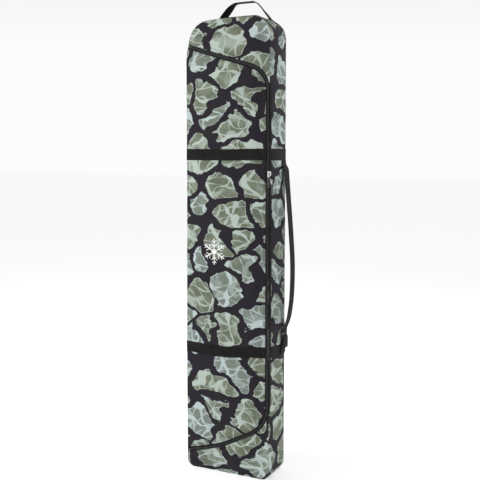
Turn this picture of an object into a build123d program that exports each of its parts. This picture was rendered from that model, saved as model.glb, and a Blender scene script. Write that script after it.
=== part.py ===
"""An upright padded snowboard bag with a zipped, side-hinged front flap.

The bag is a soft box of three layers, a printed shell, a foam pad and a lining. A D-shaped flap hinges on
the front left edge and zips shut along the top, the right edge and the bottom. Two webbing bands run round
the bag, a haul handle stands on the top and a carrying strap bows out from the right side.

Millimetres. +Z is up, the front faces -Y, +X is to the right seen from the front, and the origin is at the
middle of the flat base.
"""
import os
from math import atan2, degrees, radians, tan

from build123d import *

# Outer form
WIDTH = 325.0
DEPTH = 136.0
HEIGHT = 1616.0
TOP_RADIUS = 70.0
BASE_RADIUS = 28.0
LEFT = -WIDTH / 2
RIGHT = WIDTH / 2
FRONT = -DEPTH / 2
BACK = DEPTH / 2
SIDE_TOP = HEIGHT - TOP_RADIUS

# Layers of every wall, from the outside in
SHELL = 1.6
FOAM = 5.0
LINING = 0.9
FOAM_START = 12.0  # foam stays this far from the front face and from the zip
CLEARANCE = 0.3  # free play between parts that move past each other

# Zip: its line in the front plane, from the hinge at the base round to the hinge at the top
TAPE_REACH = 7.0  # from the zip's line to the edge of the fabric
ZIP_X = RIGHT - TAPE_REACH
HINGE_BASE = 60.0
HINGE_TOP = 1527.0
BASE_SLOPE = 0.28
TOP_SLOPE = 0.30
BASE_BEND = (-12.5, 109.0)
BASE_CORNER_Z = 196.0
ZIP_RADII = [400.0, 118.0, 88.0]
OVERRUN = 20.0  # the line runs on past the hinge by this much before it is trimmed
COIL_WIDTH = 2.55
NECK = 1.2  # thickness of a slider's neck, which runs between the two coils
TAPE = 1.2
COIL_PROUD = 0.6
TAPE_ON_SIDE = 15.0  # width of the frame's tape where it wraps onto the right side
TIP_BASE = 242.0  # the fixed front panels taper out where the zip nears the right edge
TIP_TOP = 1380.0
STOP_LENGTH = 3.7

# Webbing
BAND = 40.0
BAND_THICKNESS = 1.6
UPPER_BAND_Z = 1150.0
LOWER_BAND_Z = 454.0
STRAP_WIDTH = 38.0
STRAP_THICKNESS = 2.4
STRAP_Y = 43.0
STRAP_TOP = 1091.0
STRAP_END = 541.6
HANDLE_WIDTH = 25.0
HANDLE_THICKNESS = 2.4
HANDLE_Y = 40.0
HANDLE_AXIS_Z = HEIGHT + 15.0
HANDLE_TOP = HEIGHT + 66.0
HANDLE_LEFT = -84.0  # where its left leg leaves the flat top
LEFT_END_START = HANDLE_LEFT - 16.0
SEWN_LENGTH = 28.0

# Sliders and pulls
SLIDER_HEIGHT = 18.0
UPPER_SLIDER_Z = 1086.0
LOWER_SLIDER_Z = 1062.0
PLATE = 2.0
PLATE_WIDTH = 11.35
PIN_RADIUS = 1.0
PIN_CLEARANCE = 0.05
PIN_STANDOFF = 3.4
LUG_WIDTH = 3.0
TAB_WIDTH = 6.4
TAB_LENGTH = 19.0
GRIP_WIDTH = 10.8
GRIP_LENGTH = 36.0
GRIP_THICKNESS = 4.0

# Strap buckle: an upright plate with three windows
BUCKLE_WIDTH = 47.0
BUCKLE_WINDOW = 40.0
BUCKLE_THICKNESS = 3.6
BUCKLE_X = RIGHT + 8.5
BUCKLE_TOP = 528.5
BUCKLE_BAR = 5.0
BUCKLE_WINDOWS = (9.0, 9.0, 5.0)  # heights, from the top window down
THIN_WEBBING = 1.8

# Print on the flap
EMBLEM_X = -43.5
EMBLEM_Z = 809.0
EMBLEM_ARM = 47.0
EMBLEM_STROKE = 5.0
PRINT = 0.4


def block(x_low, x_high, y_low, y_high, z_low, z_high):
    """A box between two corners."""
    size = (x_high - x_low, y_high - y_low, z_high - z_low)
    middle = ((x_low + x_high) / 2, (y_low + y_high) / 2, (z_low + z_high) / 2)
    return Pos(*middle) * Box(*size)


def slab(shape, y_low, y_high):
    """A flat shape drawn in X and Z, given thickness from y_low back to y_high."""
    plane = Plane(origin=(0, y_high, 0), x_dir=(1, 0, 0), z_dir=(0, -1, 0))
    return extrude(plane * shape, amount=y_high - y_low)


def rectangle(x_low, x_high, z_low, z_high):
    """A flat rectangle in X and Z."""
    return Pos((x_low + x_high) / 2, (z_low + z_high) / 2) * Rectangle(x_high - x_low, z_high - z_low)


def outline(inset):
    """The front view of the bag, shrunk by inset."""
    low, high = LEFT + inset, RIGHT - inset
    corners = [(low, inset), (high, inset), (high, HEIGHT - inset), (low, HEIGHT - inset)]
    base, top = BASE_RADIUS - inset, TOP_RADIUS - inset
    return make_face(FilletPolyline(*corners, radius=[base, base, top, top], close=True))


def shifted(points, distance):
    """The corners of an open line moved sideways, to the right of its direction."""
    runs = []
    for start, end in zip(points, points[1:]):
        along = (Vector(*end) - Vector(*start)).normalized()
        side = Vector(along.Y, -along.X) * distance
        runs.append((Vector(*start) + side, along))
    corners = [runs[0][0]]
    for (here, along), (there, onward) in zip(runs, runs[1:]):
        step = there - here
        reach = (step.X * onward.Y - step.Y * onward.X) / (along.X * onward.Y - along.Y * onward.X)
        corners.append(here + along * reach)
    corners.append(Vector(*points[-1]) + side)
    return corners


def turns(points):
    """The signed turn in degrees at each inner corner of an open line, positive to the left."""
    headings = [degrees(atan2(b[1] - a[1], b[0] - a[0])) for a, b in zip(points, points[1:])]
    return [(after - before + 180) % 360 - 180 for before, after in zip(headings, headings[1:])]


def ribbon(points, radii, thickness):
    """The edge view of a strip of webbing along an open line with rounded corners."""
    half = thickness / 2
    signs = [1 if turn > 0 else -1 for turn in turns(points)]
    outer = [radius + sign * half for radius, sign in zip(radii, signs)]
    inner = [radius - sign * half for radius, sign in zip(radii, signs)]
    corners = shifted(points, half) + shifted(points, -half)[::-1]
    return make_face(FilletPolyline(*corners, radius=[0] + outer + [0, 0] + inner[::-1] + [0], close=True))


def soft_radii(points):
    """The largest radii that the runs of an open line leave room for."""
    lengths = [(Vector(*b) - Vector(*a)).length for a, b in zip(points, points[1:])]
    shorter = [min(pair) for pair in zip(lengths, lengths[1:])]
    return [0.45 * run / tan(radians(abs(turn) / 2)) for run, turn in zip(shorter, turns(points))]


def zip_region(shift):
    """The front view inside the zip's line, grown by shift and left open past the hinge."""
    line = [
        (LEFT - OVERRUN, HINGE_BASE - BASE_SLOPE * OVERRUN),
        BASE_BEND,
        (ZIP_X, BASE_CORNER_Z),
        (ZIP_X, HINGE_TOP - TOP_SLOPE * (ZIP_X - LEFT)),
        (LEFT - OVERRUN, HINGE_TOP + TOP_SLOPE * OVERRUN),
    ]
    radii = [radius + shift for radius in ZIP_RADII]
    return make_face(FilletPolyline(*shifted(line, shift), radius=[0] + radii + [0], close=True))


def zip_strip(inner, outer, x_start):
    """The strip between two distances from the zip's line, kept to the right of x_start."""
    return (zip_region(outer) - zip_region(inner)) & rectangle(x_start, RIGHT, 0, HEIGHT)


# Walls

def wall_ring(outer_inset, inner_inset, y_low, y_high):
    """One layer of the strip of wall that joins the front to the back."""
    return slab(outline(outer_inset) - outline(inner_inset), y_low, y_high)


def split_ring(ring):
    """The ring's left side, right side, top and base."""
    far = WIDTH
    left = ring & block(-far, 0, -far, far, BASE_RADIUS, SIDE_TOP)
    right = ring & block(0, far, -far, far, BASE_RADIUS, SIDE_TOP)
    top = ring & block(-far, far, -far, far, SIDE_TOP, 2 * HEIGHT)
    base = ring & block(-far, far, -far, far, -far, BASE_RADIUS)
    return {"left": left, "right": right, "top": top, "base": base}


def gussets():
    """Shell, foam and lining of the two sides, the top and the base."""
    foam_in = SHELL + FOAM
    lining_in = foam_in + LINING
    shell = wall_ring(0, SHELL, FRONT + SHELL, BACK - SHELL)
    flap_side = block(LEFT, LEFT + SHELL, FRONT, FRONT + SHELL + CLEARANCE, HINGE_BASE - 8, HINGE_TOP + 8)
    shells = split_ring(shell - flap_side)
    foams = split_ring(wall_ring(SHELL, foam_in, FRONT + FOAM_START, BACK - foam_in))
    linings = split_ring(wall_ring(foam_in, lining_in, FRONT + FOAM_START, BACK - lining_in))
    parts = {"base_panel": shells.pop("base")}
    parts |= {f"{side}_gusset": solid for side, solid in shells.items()}
    parts |= {f"{side}_foam": solid for side, solid in foams.items()}
    parts |= {f"{side}_lining": solid for side, solid in linings.items()}
    return parts


def back_wall():
    """The back panel with its foam and lining."""
    foam_in = SHELL + FOAM
    return {
        "back_panel": slab(outline(0), BACK - SHELL, BACK),
        "back_foam": slab(outline(SHELL), BACK - foam_in, BACK - SHELL),
        "back_lining": slab(outline(foam_in), BACK - foam_in - LINING, BACK - foam_in),
    }


def fixed_front():
    """The two front panels beyond the zip, each with its foam and lining."""
    parts = {}
    limits = {"front_top": (TIP_TOP, HEIGHT), "front_bottom": (0, TIP_BASE)}
    behind = FRONT + SHELL
    for name, (z_low, z_high) in limits.items():
        window = rectangle(LEFT, RIGHT, z_low, z_high)
        pad = (outline(SHELL) - zip_region(FOAM_START)) & window
        pad &= rectangle(LEFT, RIGHT - FOAM_START, z_low, z_high)
        parts[f"{name}_panel"] = slab((outline(0) - zip_region(TAPE_REACH)) & window, FRONT, behind)
        parts[f"{name}_foam"] = slab(pad, behind, behind + FOAM)
        parts[f"{name}_lining"] = slab(pad, behind + FOAM, behind + FOAM + LINING)
    return parts


def frame_zip():
    """The half of the zip that stays on the bag: tape, coil and the stops at its ends."""
    coil_start = CLEARANCE / 2 + NECK + CLEARANCE - 0.1
    coil_end = coil_start + COIL_WIDTH
    tape_back = FRONT + SHELL
    tape = slab(zip_strip(coil_end, TAPE_REACH, LEFT + 3), tape_back - TAPE, tape_back)
    tape &= block(LEFT, RIGHT, FRONT, BACK, 0, HEIGHT)
    on_side = block(RIGHT, RIGHT + 0.8, tape_back - TAPE, FRONT + TAPE_ON_SIDE, TIP_BASE, TIP_TOP)
    coil = slab(zip_strip(coil_start, coil_end, LEFT + 8), FRONT - COIL_PROUD, FRONT + 2)
    stop_strip = zip_strip(coil_start, coil_end, LEFT + 4) & rectangle(LEFT, LEFT + 4 + STOP_LENGTH, 0, HEIGHT)
    stops = slab(stop_strip, FRONT - 2 * COIL_PROUD, FRONT + SHELL)
    return {"frame_zip_tape": tape + on_side, "frame_zip_coil": coil, "zip_stops": stops}


# Flap

def emblem():
    """A plain six-armed snowflake."""
    stroke = EMBLEM_STROKE
    arm = Pos(EMBLEM_ARM / 2, 0) * Rectangle(EMBLEM_ARM, stroke)
    for reach, length in ((0.42, 17.0), (0.70, 12.0)):
        for turn in (52, -52):
            barb = Rot(0, 0, turn) * Pos(length / 2, 0) * Rectangle(length, 0.8 * stroke)
            arm += Pos(reach * EMBLEM_ARM, 0) * barb
    flake = RegularPolygon(2 * stroke, 6)
    for index in range(6):
        flake += Rot(0, 0, 90 + 60 * index) * arm
    return slab(Pos(EMBLEM_X, EMBLEM_Z) * flake, FRONT - PRINT, FRONT)


def flap():
    """Everything that swings on the left edge."""
    hinge_side = rectangle(LEFT + CLEARANCE, RIGHT, 0, HEIGHT)
    foam_side = rectangle(LEFT + FOAM_START, RIGHT, 0, HEIGHT)
    behind = FRONT + SHELL
    coil_edge = -CLEARANCE / 2
    pad = zip_region(-FOAM_START) & foam_side
    tape = zip_strip(-TAPE_REACH, coil_edge - COIL_WIDTH, LEFT + 3)
    coil = zip_strip(coil_edge - COIL_WIDTH, coil_edge, LEFT + 8)
    parts = {
        "flap_panel": slab(zip_region(-TAPE_REACH) & hinge_side, FRONT, behind),
        "flap_foam": slab(pad, behind, behind + FOAM),
        "flap_lining": slab(pad, behind + FOAM, behind + FOAM + LINING),
        "flap_zip_tape": slab(tape, behind - TAPE, behind),
        "flap_zip_coil": slab(coil, FRONT - COIL_PROUD, FRONT + 2),
        "flap_emblem": emblem(),
    }
    for name, z_mid in (("upper", UPPER_BAND_Z), ("lower", LOWER_BAND_Z)):
        limits = (z_mid - BAND / 2, z_mid + BAND / 2)
        strip = rectangle(LEFT + CLEARANCE, ZIP_X - TAPE_REACH, *limits)
        parts[f"flap_{name}_band"] = slab(strip, FRONT - BAND_THICKNESS, FRONT)
    return parts


def body_bands():
    """The two bands round the sides and the back."""
    parts = {}
    left_out, right_out, back_out = LEFT - BAND_THICKNESS, RIGHT + BAND_THICKNESS, BACK + BAND_THICKNESS
    for name, z_mid in (("upper", UPPER_BAND_Z), ("lower", LOWER_BAND_Z)):
        limits = (z_mid - BAND / 2, z_mid + BAND / 2)
        left = block(left_out, LEFT, FRONT + 2.5, back_out, *limits)
        back = block(LEFT, RIGHT, BACK, back_out, *limits)
        right = block(RIGHT, right_out, FRONT + TAPE_ON_SIDE, back_out, *limits)
        parts[f"{name}_band"] = left + back + right
    return parts


# Sliders

def slider(z_mid):
    """A zip slider that grips the frame's half of the zip and wraps the bag's front right edge."""
    z_low, z_high = z_mid - SLIDER_HEIGHT / 2, z_mid + SLIDER_HEIGHT / 2
    x_low = ZIP_X + CLEARANCE / 2
    x_high = x_low + PLATE_WIDTH
    plate_back = FRONT - COIL_PROUD - 0.4
    under_front = FRONT + 2.6
    front_plate = block(x_low, x_high, plate_back - PLATE, plate_back, z_low, z_high)
    corners = front_plate.edges().filter_by(Axis.Y)
    front_plate = fillet(corners, 3.0)
    neck = block(x_low, x_low + NECK, plate_back, under_front, z_mid - 4, z_mid + 4)
    back_plate = block(x_low - 5.5, RIGHT - SHELL - CLEARANCE, under_front, under_front + 1.8, z_low, z_high)
    lip = block(x_high - 2.2, x_high, plate_back, FRONT + 4, z_mid - 6, z_mid + 6)
    return front_plate + neck + back_plate + lip


def lug():
    """The eye on a slider that holds its pull, facing -Y with its bore on the origin along X."""
    body = block(-LUG_WIDTH / 2, LUG_WIDTH / 2, -1.9, PIN_STANDOFF, -2.4, 2.4)
    body = fillet(body.edges().filter_by(Axis.X).group_by(Axis.Y)[0], 1.6)
    return body - Rot(0, 90, 0) * Cylinder(PIN_RADIUS + PIN_CLEARANCE, 2 * LUG_WIDTH)


def pull_tab():
    """A metal tab with two cheeks and a pin, hanging from the origin and facing -Y."""
    side = TAB_WIDTH / 2
    inner = LUG_WIDTH / 2 + 0.2
    tab = block(-side, side, -0.8, 0.8, -TAB_LENGTH, -4.6)
    for sign in (-1, 1):
        low, high = sorted((sign * inner, sign * side))
        cheek = Pos(sign * (inner + side) / 2, 0, 0) * Rot(0, 90, 0) * Cylinder(1.7, side - inner)
        tab += cheek + block(low, high, -0.8, 0.8, -4.6, 0)
    return tab + Rot(0, 90, 0) * Cylinder(PIN_RADIUS, 2 * inner)


def pull_grip():
    """A moulded grip round the lower end of the tab."""
    low = -TAB_LENGTH - GRIP_LENGTH + 7
    side = GRIP_WIDTH / 2
    grip = block(-side, side, -GRIP_THICKNESS / 2, GRIP_THICKNESS / 2, low, low + GRIP_LENGTH)
    grip = fillet(grip.edges().filter_by(Axis.Y), 4.0)
    grip = fillet(grip.edges().filter_by(Axis.Z), 1.2)
    return grip - pull_tab()


def sliders():
    """Two sliders, the upper with its pull on the front and the lower with its pull on the side."""
    plate_front = FRONT - COIL_PROUD - 0.4 - PLATE
    plate_right = ZIP_X + CLEARANCE / 2 + PLATE_WIDTH
    on_front = Pos(plate_right - PLATE_WIDTH / 2, plate_front - PIN_STANDOFF, UPPER_SLIDER_Z)
    on_side = Pos(plate_right + PIN_STANDOFF, FRONT + 0.6, LOWER_SLIDER_Z) * Rot(0, 0, 90)
    parts = {}
    for name, z_mid, place in (("upper", UPPER_SLIDER_Z, on_front), ("lower", LOWER_SLIDER_Z, on_side)):
        parts[f"{name}_slider"] = slider(z_mid) + place * lug()
        parts[f"{name}_pull_tab"] = place * pull_tab()
        parts[f"{name}_pull_grip"] = place * pull_grip()
    return parts


# Haul handle

def handle():
    """The standing loop and its two sewn ends, one flat and one over the rounded corner."""
    half = HANDLE_THICKNESS / 2
    crown = HANDLE_TOP - half
    path = [(HANDLE_LEFT, HEIGHT + half), (-28.0, crown), (60.0, crown), (119.0, HEIGHT - 4)]
    y_low, y_high = HANDLE_Y - HANDLE_WIDTH / 2, HANDLE_Y + HANDLE_WIDTH / 2
    loop = slab(ribbon(path, [14.0, 14.0], HANDLE_THICKNESS), y_low, y_high)
    above = block(-WIDTH, WIDTH, FRONT, BACK, HANDLE_AXIS_Z, 2 * HEIGHT)
    knuckle = Pos(0, HANDLE_Y, HANDLE_AXIS_Z) * Rot(0, 90, 0) * Cylinder(HANDLE_WIDTH / 2, 2 * WIDTH)
    loop &= above + knuckle
    flat_end = block(LEFT_END_START, LEFT_END_START + SEWN_LENGTH, y_low, y_high, HEIGHT, HEIGHT + 2.0)
    centre_x = RIGHT - TOP_RADIUS
    arc_angle = degrees(SEWN_LENGTH / TOP_RADIUS)
    rise = 74.0
    arc = CenterArc((centre_x, SIDE_TOP), TOP_RADIUS, rise - arc_angle, arc_angle)
    outer_arc = CenterArc((centre_x, SIDE_TOP), TOP_RADIUS + 2.0, rise - arc_angle, arc_angle)
    ends = [Line(arc @ 0, outer_arc @ 0), Line(arc @ 1, outer_arc @ 1)]
    curved_end = slab(make_face([arc.edge(), outer_arc.edge(), ends[0].edge(), ends[1].edge()]), y_low, y_high)
    return {"haul_handle": loop, "handle_left_end": flat_end, "handle_right_end": curved_end}


# Shoulder strap, with X given as the distance out from the right side

def strap_piece(path, radii, thickness, width=STRAP_WIDTH):
    """A strip of webbing whose edge is drawn as (distance out from the right side, height)."""
    points = [(RIGHT + out, height) for out, height in path]
    return slab(ribbon(points, radii, thickness), STRAP_Y - width / 2, STRAP_Y + width / 2)


def strap():
    """The bowed strap, its sewn top end, and the lower end that threads the buckle."""
    bow = [(15.2, 1098), (24, 986), (35, 851), (41, 739), (37.5, 636), (28, 568), (14.6, 538)]
    middle = strap_piece(bow, soft_radii(bow), STRAP_THICKNESS)
    middle &= block(RIGHT, RIGHT + 60, FRONT, BACK, STRAP_END, STRAP_TOP)
    top_end = [(1.2, UPPER_BAND_Z - BAND / 2), (1.2, 1115), (15.2, 1102), (15.2, STRAP_TOP + CLEARANCE)]
    lower_end = [
        (16.0, STRAP_END - 2 * CLEARANCE), (11.6, 527.5), (11.6, 522.5), (5.4, 515.5),
        (5.4, 508.5), (14.6, 501.5), (14.6, 461.0),
    ]
    tab = [(2.5, 442), (2.5, 474), (5.6, 482), (5.6, 493), (11.4, 493), (11.4, 484), (4.5, 472), (4.5, 442)]
    return {
        "shoulder_strap": middle,
        "strap_top_end": strap_piece(top_end, [5.0, 5.0], STRAP_THICKNESS),
        "strap_lower_end": strap_piece(lower_end, [3.0, 1.6, 1.6, 1.6, 1.6], THIN_WEBBING),
        "strap_tab": strap_piece(tab, [3.0, 2.0, 1.4, 1.4, 1.6, 1.6], THIN_WEBBING),
    }


def buckle():
    """A ladder buckle: a plate with bars between its windows."""
    height = sum(BUCKLE_WINDOWS) + BUCKLE_BAR * (len(BUCKLE_WINDOWS) + 1)
    half = BUCKLE_THICKNESS / 2
    half_width = BUCKLE_WIDTH / 2
    limits = (BUCKLE_X - half, BUCKLE_X + half)
    plate = block(*limits, STRAP_Y - half_width, STRAP_Y + half_width, BUCKLE_TOP - height, BUCKLE_TOP)
    plate = fillet(plate.edges().filter_by(Axis.X), 4.0)
    z_high = BUCKLE_TOP - BUCKLE_BAR
    for window in BUCKLE_WINDOWS:
        y_limits = (STRAP_Y - BUCKLE_WINDOW / 2, STRAP_Y + BUCKLE_WINDOW / 2)
        plate -= block(*limits, *y_limits, z_high - window, z_high)
        z_high -= window + BUCKLE_BAR
    return {"ladder_buckle": plate}


def main():
    """Build every node and write its STEP file."""
    os.makedirs("parts", exist_ok=True)
    makers = (gussets, back_wall, fixed_front, frame_zip, flap, body_bands, sliders, handle, strap, buckle)
    for maker in makers:
        for node, shape in maker().items():
            export_step(shape, f"parts/{node}.step")


main()
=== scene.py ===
import math

import bmesh
import bpy
import numpy as np
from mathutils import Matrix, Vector
from mathutils.geometry import delaunay_2d_cdt


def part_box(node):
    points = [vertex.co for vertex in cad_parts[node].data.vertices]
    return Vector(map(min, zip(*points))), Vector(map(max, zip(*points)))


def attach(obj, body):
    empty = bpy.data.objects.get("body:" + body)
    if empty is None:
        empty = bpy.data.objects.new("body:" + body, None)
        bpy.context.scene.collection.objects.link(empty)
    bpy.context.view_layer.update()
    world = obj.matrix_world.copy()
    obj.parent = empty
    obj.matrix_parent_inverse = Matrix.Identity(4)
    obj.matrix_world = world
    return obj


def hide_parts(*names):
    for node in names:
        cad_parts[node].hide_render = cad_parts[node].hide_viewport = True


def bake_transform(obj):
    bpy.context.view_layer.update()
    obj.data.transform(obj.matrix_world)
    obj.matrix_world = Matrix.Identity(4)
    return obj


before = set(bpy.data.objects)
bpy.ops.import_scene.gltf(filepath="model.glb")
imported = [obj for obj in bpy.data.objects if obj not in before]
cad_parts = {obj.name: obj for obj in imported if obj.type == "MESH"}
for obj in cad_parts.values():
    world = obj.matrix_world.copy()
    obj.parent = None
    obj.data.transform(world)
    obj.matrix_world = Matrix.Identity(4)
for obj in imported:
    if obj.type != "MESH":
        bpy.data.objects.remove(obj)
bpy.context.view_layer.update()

# Outer form, in metres, from the CAD nodes
BACK_LOW, BACK_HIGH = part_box("back_panel")
LEFT, RIGHT, BACK, HEIGHT = BACK_LOW.x, BACK_HIGH.x, BACK_HIGH.y, BACK_HIGH.z
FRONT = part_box("flap_panel")[0].y
WIDTH = RIGHT - LEFT
DEPTH = BACK - FRONT
TOP_RADIUS = 0.070
BASE_RADIUS = 0.028

# Layers of every wall, from the outside in, and where the outer faces of the inner ones lie
SHELL = 0.0016
FOAM = 0.0050
LINING = 0.0009
LAYER_GAP = 0.0001
PAD = FOAM - 2 * LAYER_GAP
PAD_LIFT = -SHELL - LAYER_GAP
LINING_LIFT = -SHELL - FOAM - LAYER_GAP
COVER_FILL = 0.6
BASE_FILL = 0.5
PAD_FILL = 0.7

# How far pieces keep from the seams, and the strip beside the hinge where the flap's cloth bends
SEAM_INSET = 0.0006
PAD_INSET = 0.012
HINGE_START = LEFT + 0.0003
HINGE_FOLD = 0.012

# The zip's line in the front plane, as in the CAD source
TAPE_REACH = 0.007
TAPE_START = LEFT + 0.003
TAPE_THICKNESS = 0.0010
COIL_START = LEFT + 0.008
COIL_RADIUS = 0.00085
COIL_PITCH = 0.0027
ZIP_X = RIGHT - TAPE_REACH
ZIP_END_X = LEFT - 0.020
ZIP_CORNERS = [(ZIP_END_X, 0.0544), (-0.0125, 0.109), (ZIP_X, 0.196), (ZIP_X, 1.4316), (ZIP_END_X, 1.533)]
ZIP_RADII = [0.400, 0.118, 0.088]
ZIP_STEP = 0.003

# Thread
STITCH_PITCH = 0.0042
STITCH_LENGTH = 0.0030
STITCH_RADIUS = 0.00042
THREAD_LIFT = 0.0002
SEAM_THREAD = 0.0045  # how far the seams' topstitching keeps from the seam
BARTACK_WIDTH = 0.034

# Webbing
BAND = 0.040
BAND_THICKNESS = 0.0016
BAND_SUNK = 0.0004  # how far a band's inner face lies under the cloth
BAND_HEIGHTS = {"upper": 1.150, "lower": 0.454}
BAND_SKEW = {"upper": 0.001, "lower": 0.008}  # how far a band rises at the front right corner
STRAP_WIDTH = 0.038
STRAP_THICKNESS = 0.0024
STRAP_Y = 0.043
HANDLE_WIDTH = 0.025
HANDLE_THICKNESS = 0.0024
HANDLE_Y = 0.040
HANDLE_LEFT = -0.084
HANDLE_LEFT_TWIST = math.radians(50)
HANDLE_RIGHT_TWIST = math.radians(9)
UP = np.array([0.0, 0.0, 1.0])
BACKWARD = np.array([0.0, 1.0, 0.0])
RIGHTWARD = np.array([1.0, 0.0, 0.0])

# How far the stuffed walls stand out from the CAD planes
FRONT_BULGE = 0.0165
BACK_BULGE = 0.0075
SIDE_BULGE = 0.0050
TOP_BULGE = 0.0090
BASE_BULGE = 0.0006
WRINKLE_GAIN = 0.9

# How the standing bag slumps: its top left shoulder goes in and down, and its left side goes out lower down
SHOULDER_IN = 0.016
SHOULDER_DROP = 0.007
SAG_OUT = 0.0055

# The coarse grid that is inflated: cells across, up and through the bag
ACROSS, UPWARD, THROUGH = 32, 150, 12
FRAMES = 22
BAND_PIN = 0.14  # how firmly the bands hold the cloth in, where 1 is fixed

# The camera's place round the bag, and its pitch and aim from there
CAMERA_TURN = math.radians(27.0)
CAMERA_DISTANCE = 2.90
CAMERA_HEIGHT = 1.166
CAMERA_PITCH = math.radians(-6.32)
CAMERA_AIM = math.radians(-0.28)
CAMERA_LENS = 60.9


# Arithmetic on lines and grids

def unit(vectors):
    """Vectors scaled to length one."""
    return vectors / np.maximum(np.linalg.norm(vectors, axis=-1, keepdims=True), 1e-12)


def spin(angle):
    """The matrix that turns vectors of a plane by an angle."""
    return np.array([[math.cos(angle), -math.sin(angle)], [math.sin(angle), math.cos(angle)]])


def right_of(line):
    """The direction to the right of a line in a plane, at each of its points."""
    along = unit(np.gradient(line, axis=0))
    return np.column_stack([along[:, 1], -along[:, 0]])


def run_along(points):
    """How far along their line points are."""
    return np.concatenate([[0], np.cumsum(np.linalg.norm(np.diff(points, axis=0), axis=1))])


def at_runs(at, run, points):
    """The points at distances along a line whose own points are at the distances in run."""
    return np.stack([np.interp(at, run, points[:, k]) for k in range(points.shape[1])], 1)


def ease(low, high, value):
    """A smooth step from 0 at low to 1 at high."""
    t = np.clip((value - low) / (high - low), 0, 1)
    return t * t * (3 - 2 * t)


def padded_grid(grid, wrap):
    """A grid with one more ring of samples on each side, wrapped or mirrored through its edge."""
    if wrap:
        grid = np.concatenate([grid[-1:], grid, grid[:2]], 0)
    else:
        grid = np.concatenate([2 * grid[:1] - grid[1:2], grid, 2 * grid[-1:] - grid[-2:-1]], 0)
    return np.concatenate([2 * grid[:, :1] - grid[:, 1:2], grid, 2 * grid[:, -1:] - grid[:, -2:-1]], 1)


def spline_weights(t):
    """The four weights of a uniform cubic B-spline."""
    return [(1 - t) ** 3 / 6, (3 * t ** 3 - 6 * t ** 2 + 4) / 6,
            (-3 * t ** 3 + 3 * t ** 2 + 3 * t + 1) / 6, t ** 3 / 6]


def sample(grid, u, v, wrap=False):
    """A smooth value of grid at fractional row u and column v."""
    rows = len(grid) if wrap else len(grid) - 1
    columns = grid.shape[1] - 1
    source = padded_grid(grid, wrap)
    u = np.mod(u, rows) if wrap else np.clip(u, 0, rows)
    v = np.clip(v, 0, columns)
    i = np.minimum(np.floor(u).astype(int), rows - 1)
    j = np.minimum(np.floor(v).astype(int), columns - 1)
    total = 0
    for a, weight_u in enumerate(spline_weights(u - i)):
        for b, weight_v in enumerate(spline_weights(v - j)):
            total = total + (weight_u * weight_v)[..., None] * source[i + a, j + b]
    return total


def evenly(points, step, closed=False):
    """Points spaced evenly along a line, near to step apart."""
    points = np.asarray(points, float)
    if closed:
        points = np.vstack([points, points[:1]])
    run = run_along(points)
    count = max(2, int(round(run[-1] / step)) + 1)
    line = at_runs(np.linspace(0, run[-1], count), run, points)
    return line[:-1] if closed else line


def rounded_line(corners, radii, step):
    """Points along an open line whose inner corners are rounded by arcs."""
    corners = np.asarray(corners, float)
    points = [corners[0]]
    for before, corner, after, radius in zip(corners, corners[1:], corners[2:], radii):
        into = unit(corner - before)
        onward = unit(after - corner)
        side = np.sign(into[0] * onward[1] - into[1] * onward[0])
        turn = math.acos(np.clip(into @ onward, -1, 1))
        start = corner - into * radius * math.tan(turn / 2)
        centre = start + side * radius * np.array([-into[1], into[0]])
        arm = start - centre
        steps = max(2, math.ceil(radius * turn / step))
        for k in range(steps + 1):
            points.append(centre + spin(side * turn * k / steps) @ arm)
    points.append(corners[-1])
    return evenly(points, step)


def smooth_curve(points, step):
    """A smooth curve through points, sampled evenly."""
    points = np.asarray(points, float)
    ends = np.vstack([2 * points[0] - points[1], points, 2 * points[-1] - points[-2]])
    line = []
    for a, b, c, d in zip(ends, ends[1:], ends[2:], ends[3:]):
        for t in np.linspace(0, 1, 12, endpoint=False):
            line.append(0.5 * (2 * b + (c - a) * t + (2 * a - 5 * b + 4 * c - d) * t ** 2
                               + (3 * b - a - 3 * c + d) * t ** 3))
    line.append(points[-1])
    return evenly(line, step)


def ripple(seed, rows, columns):
    """A seeded grid of values from -1 to 1, for slow variation."""
    return np.random.default_rng(seed).uniform(-1, 1, (rows, columns, 1))


def grid_faces(index):
    """The quads of a grid of point indices."""
    quads = np.stack([index[:-1, :-1], index[1:, :-1], index[1:, 1:], index[:-1, 1:]], -1)
    return quads.reshape(-1, 4).tolist()


# The bag's outline seen from the front. Distances s start at the middle of the base and go up the right side.

BASE_FLAT = WIDTH / 2 - BASE_RADIUS
SIDE_FLAT = HEIGHT - TOP_RADIUS - BASE_RADIUS
TOP_FLAT = WIDTH / 2 - TOP_RADIUS
QUARTER = math.pi / 2
BASE_END, SIDE_START, SIDE_END, TOP_START, TOP_MIDDLE = np.cumsum(
    [BASE_FLAT, BASE_RADIUS * QUARTER, SIDE_FLAT, TOP_RADIUS * QUARTER, TOP_FLAT])
OUTLINE = 2 * TOP_MIDDLE


def outline_point(s):
    """The outline's points (x, z) at distances s."""
    s = np.mod(s, OUTLINE)
    mirrored = s > OUTLINE / 2
    run = np.where(mirrored, OUTLINE - s, s)
    low = np.clip((run - BASE_END) / BASE_RADIUS, 0, QUARTER)
    high = np.clip((run - SIDE_END) / TOP_RADIUS, 0, QUARTER)
    x = np.minimum(run, BASE_FLAT) + BASE_RADIUS * np.sin(low)
    z = BASE_RADIUS * (1 - np.cos(low)) + np.clip(run - SIDE_START, 0, SIDE_FLAT)
    x = x - TOP_RADIUS * (1 - np.cos(high)) - np.clip(run - TOP_START, 0, TOP_FLAT)
    z = z + TOP_RADIUS * np.sin(high)
    return np.stack([np.where(mirrored, -x, x), z], -1)


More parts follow.
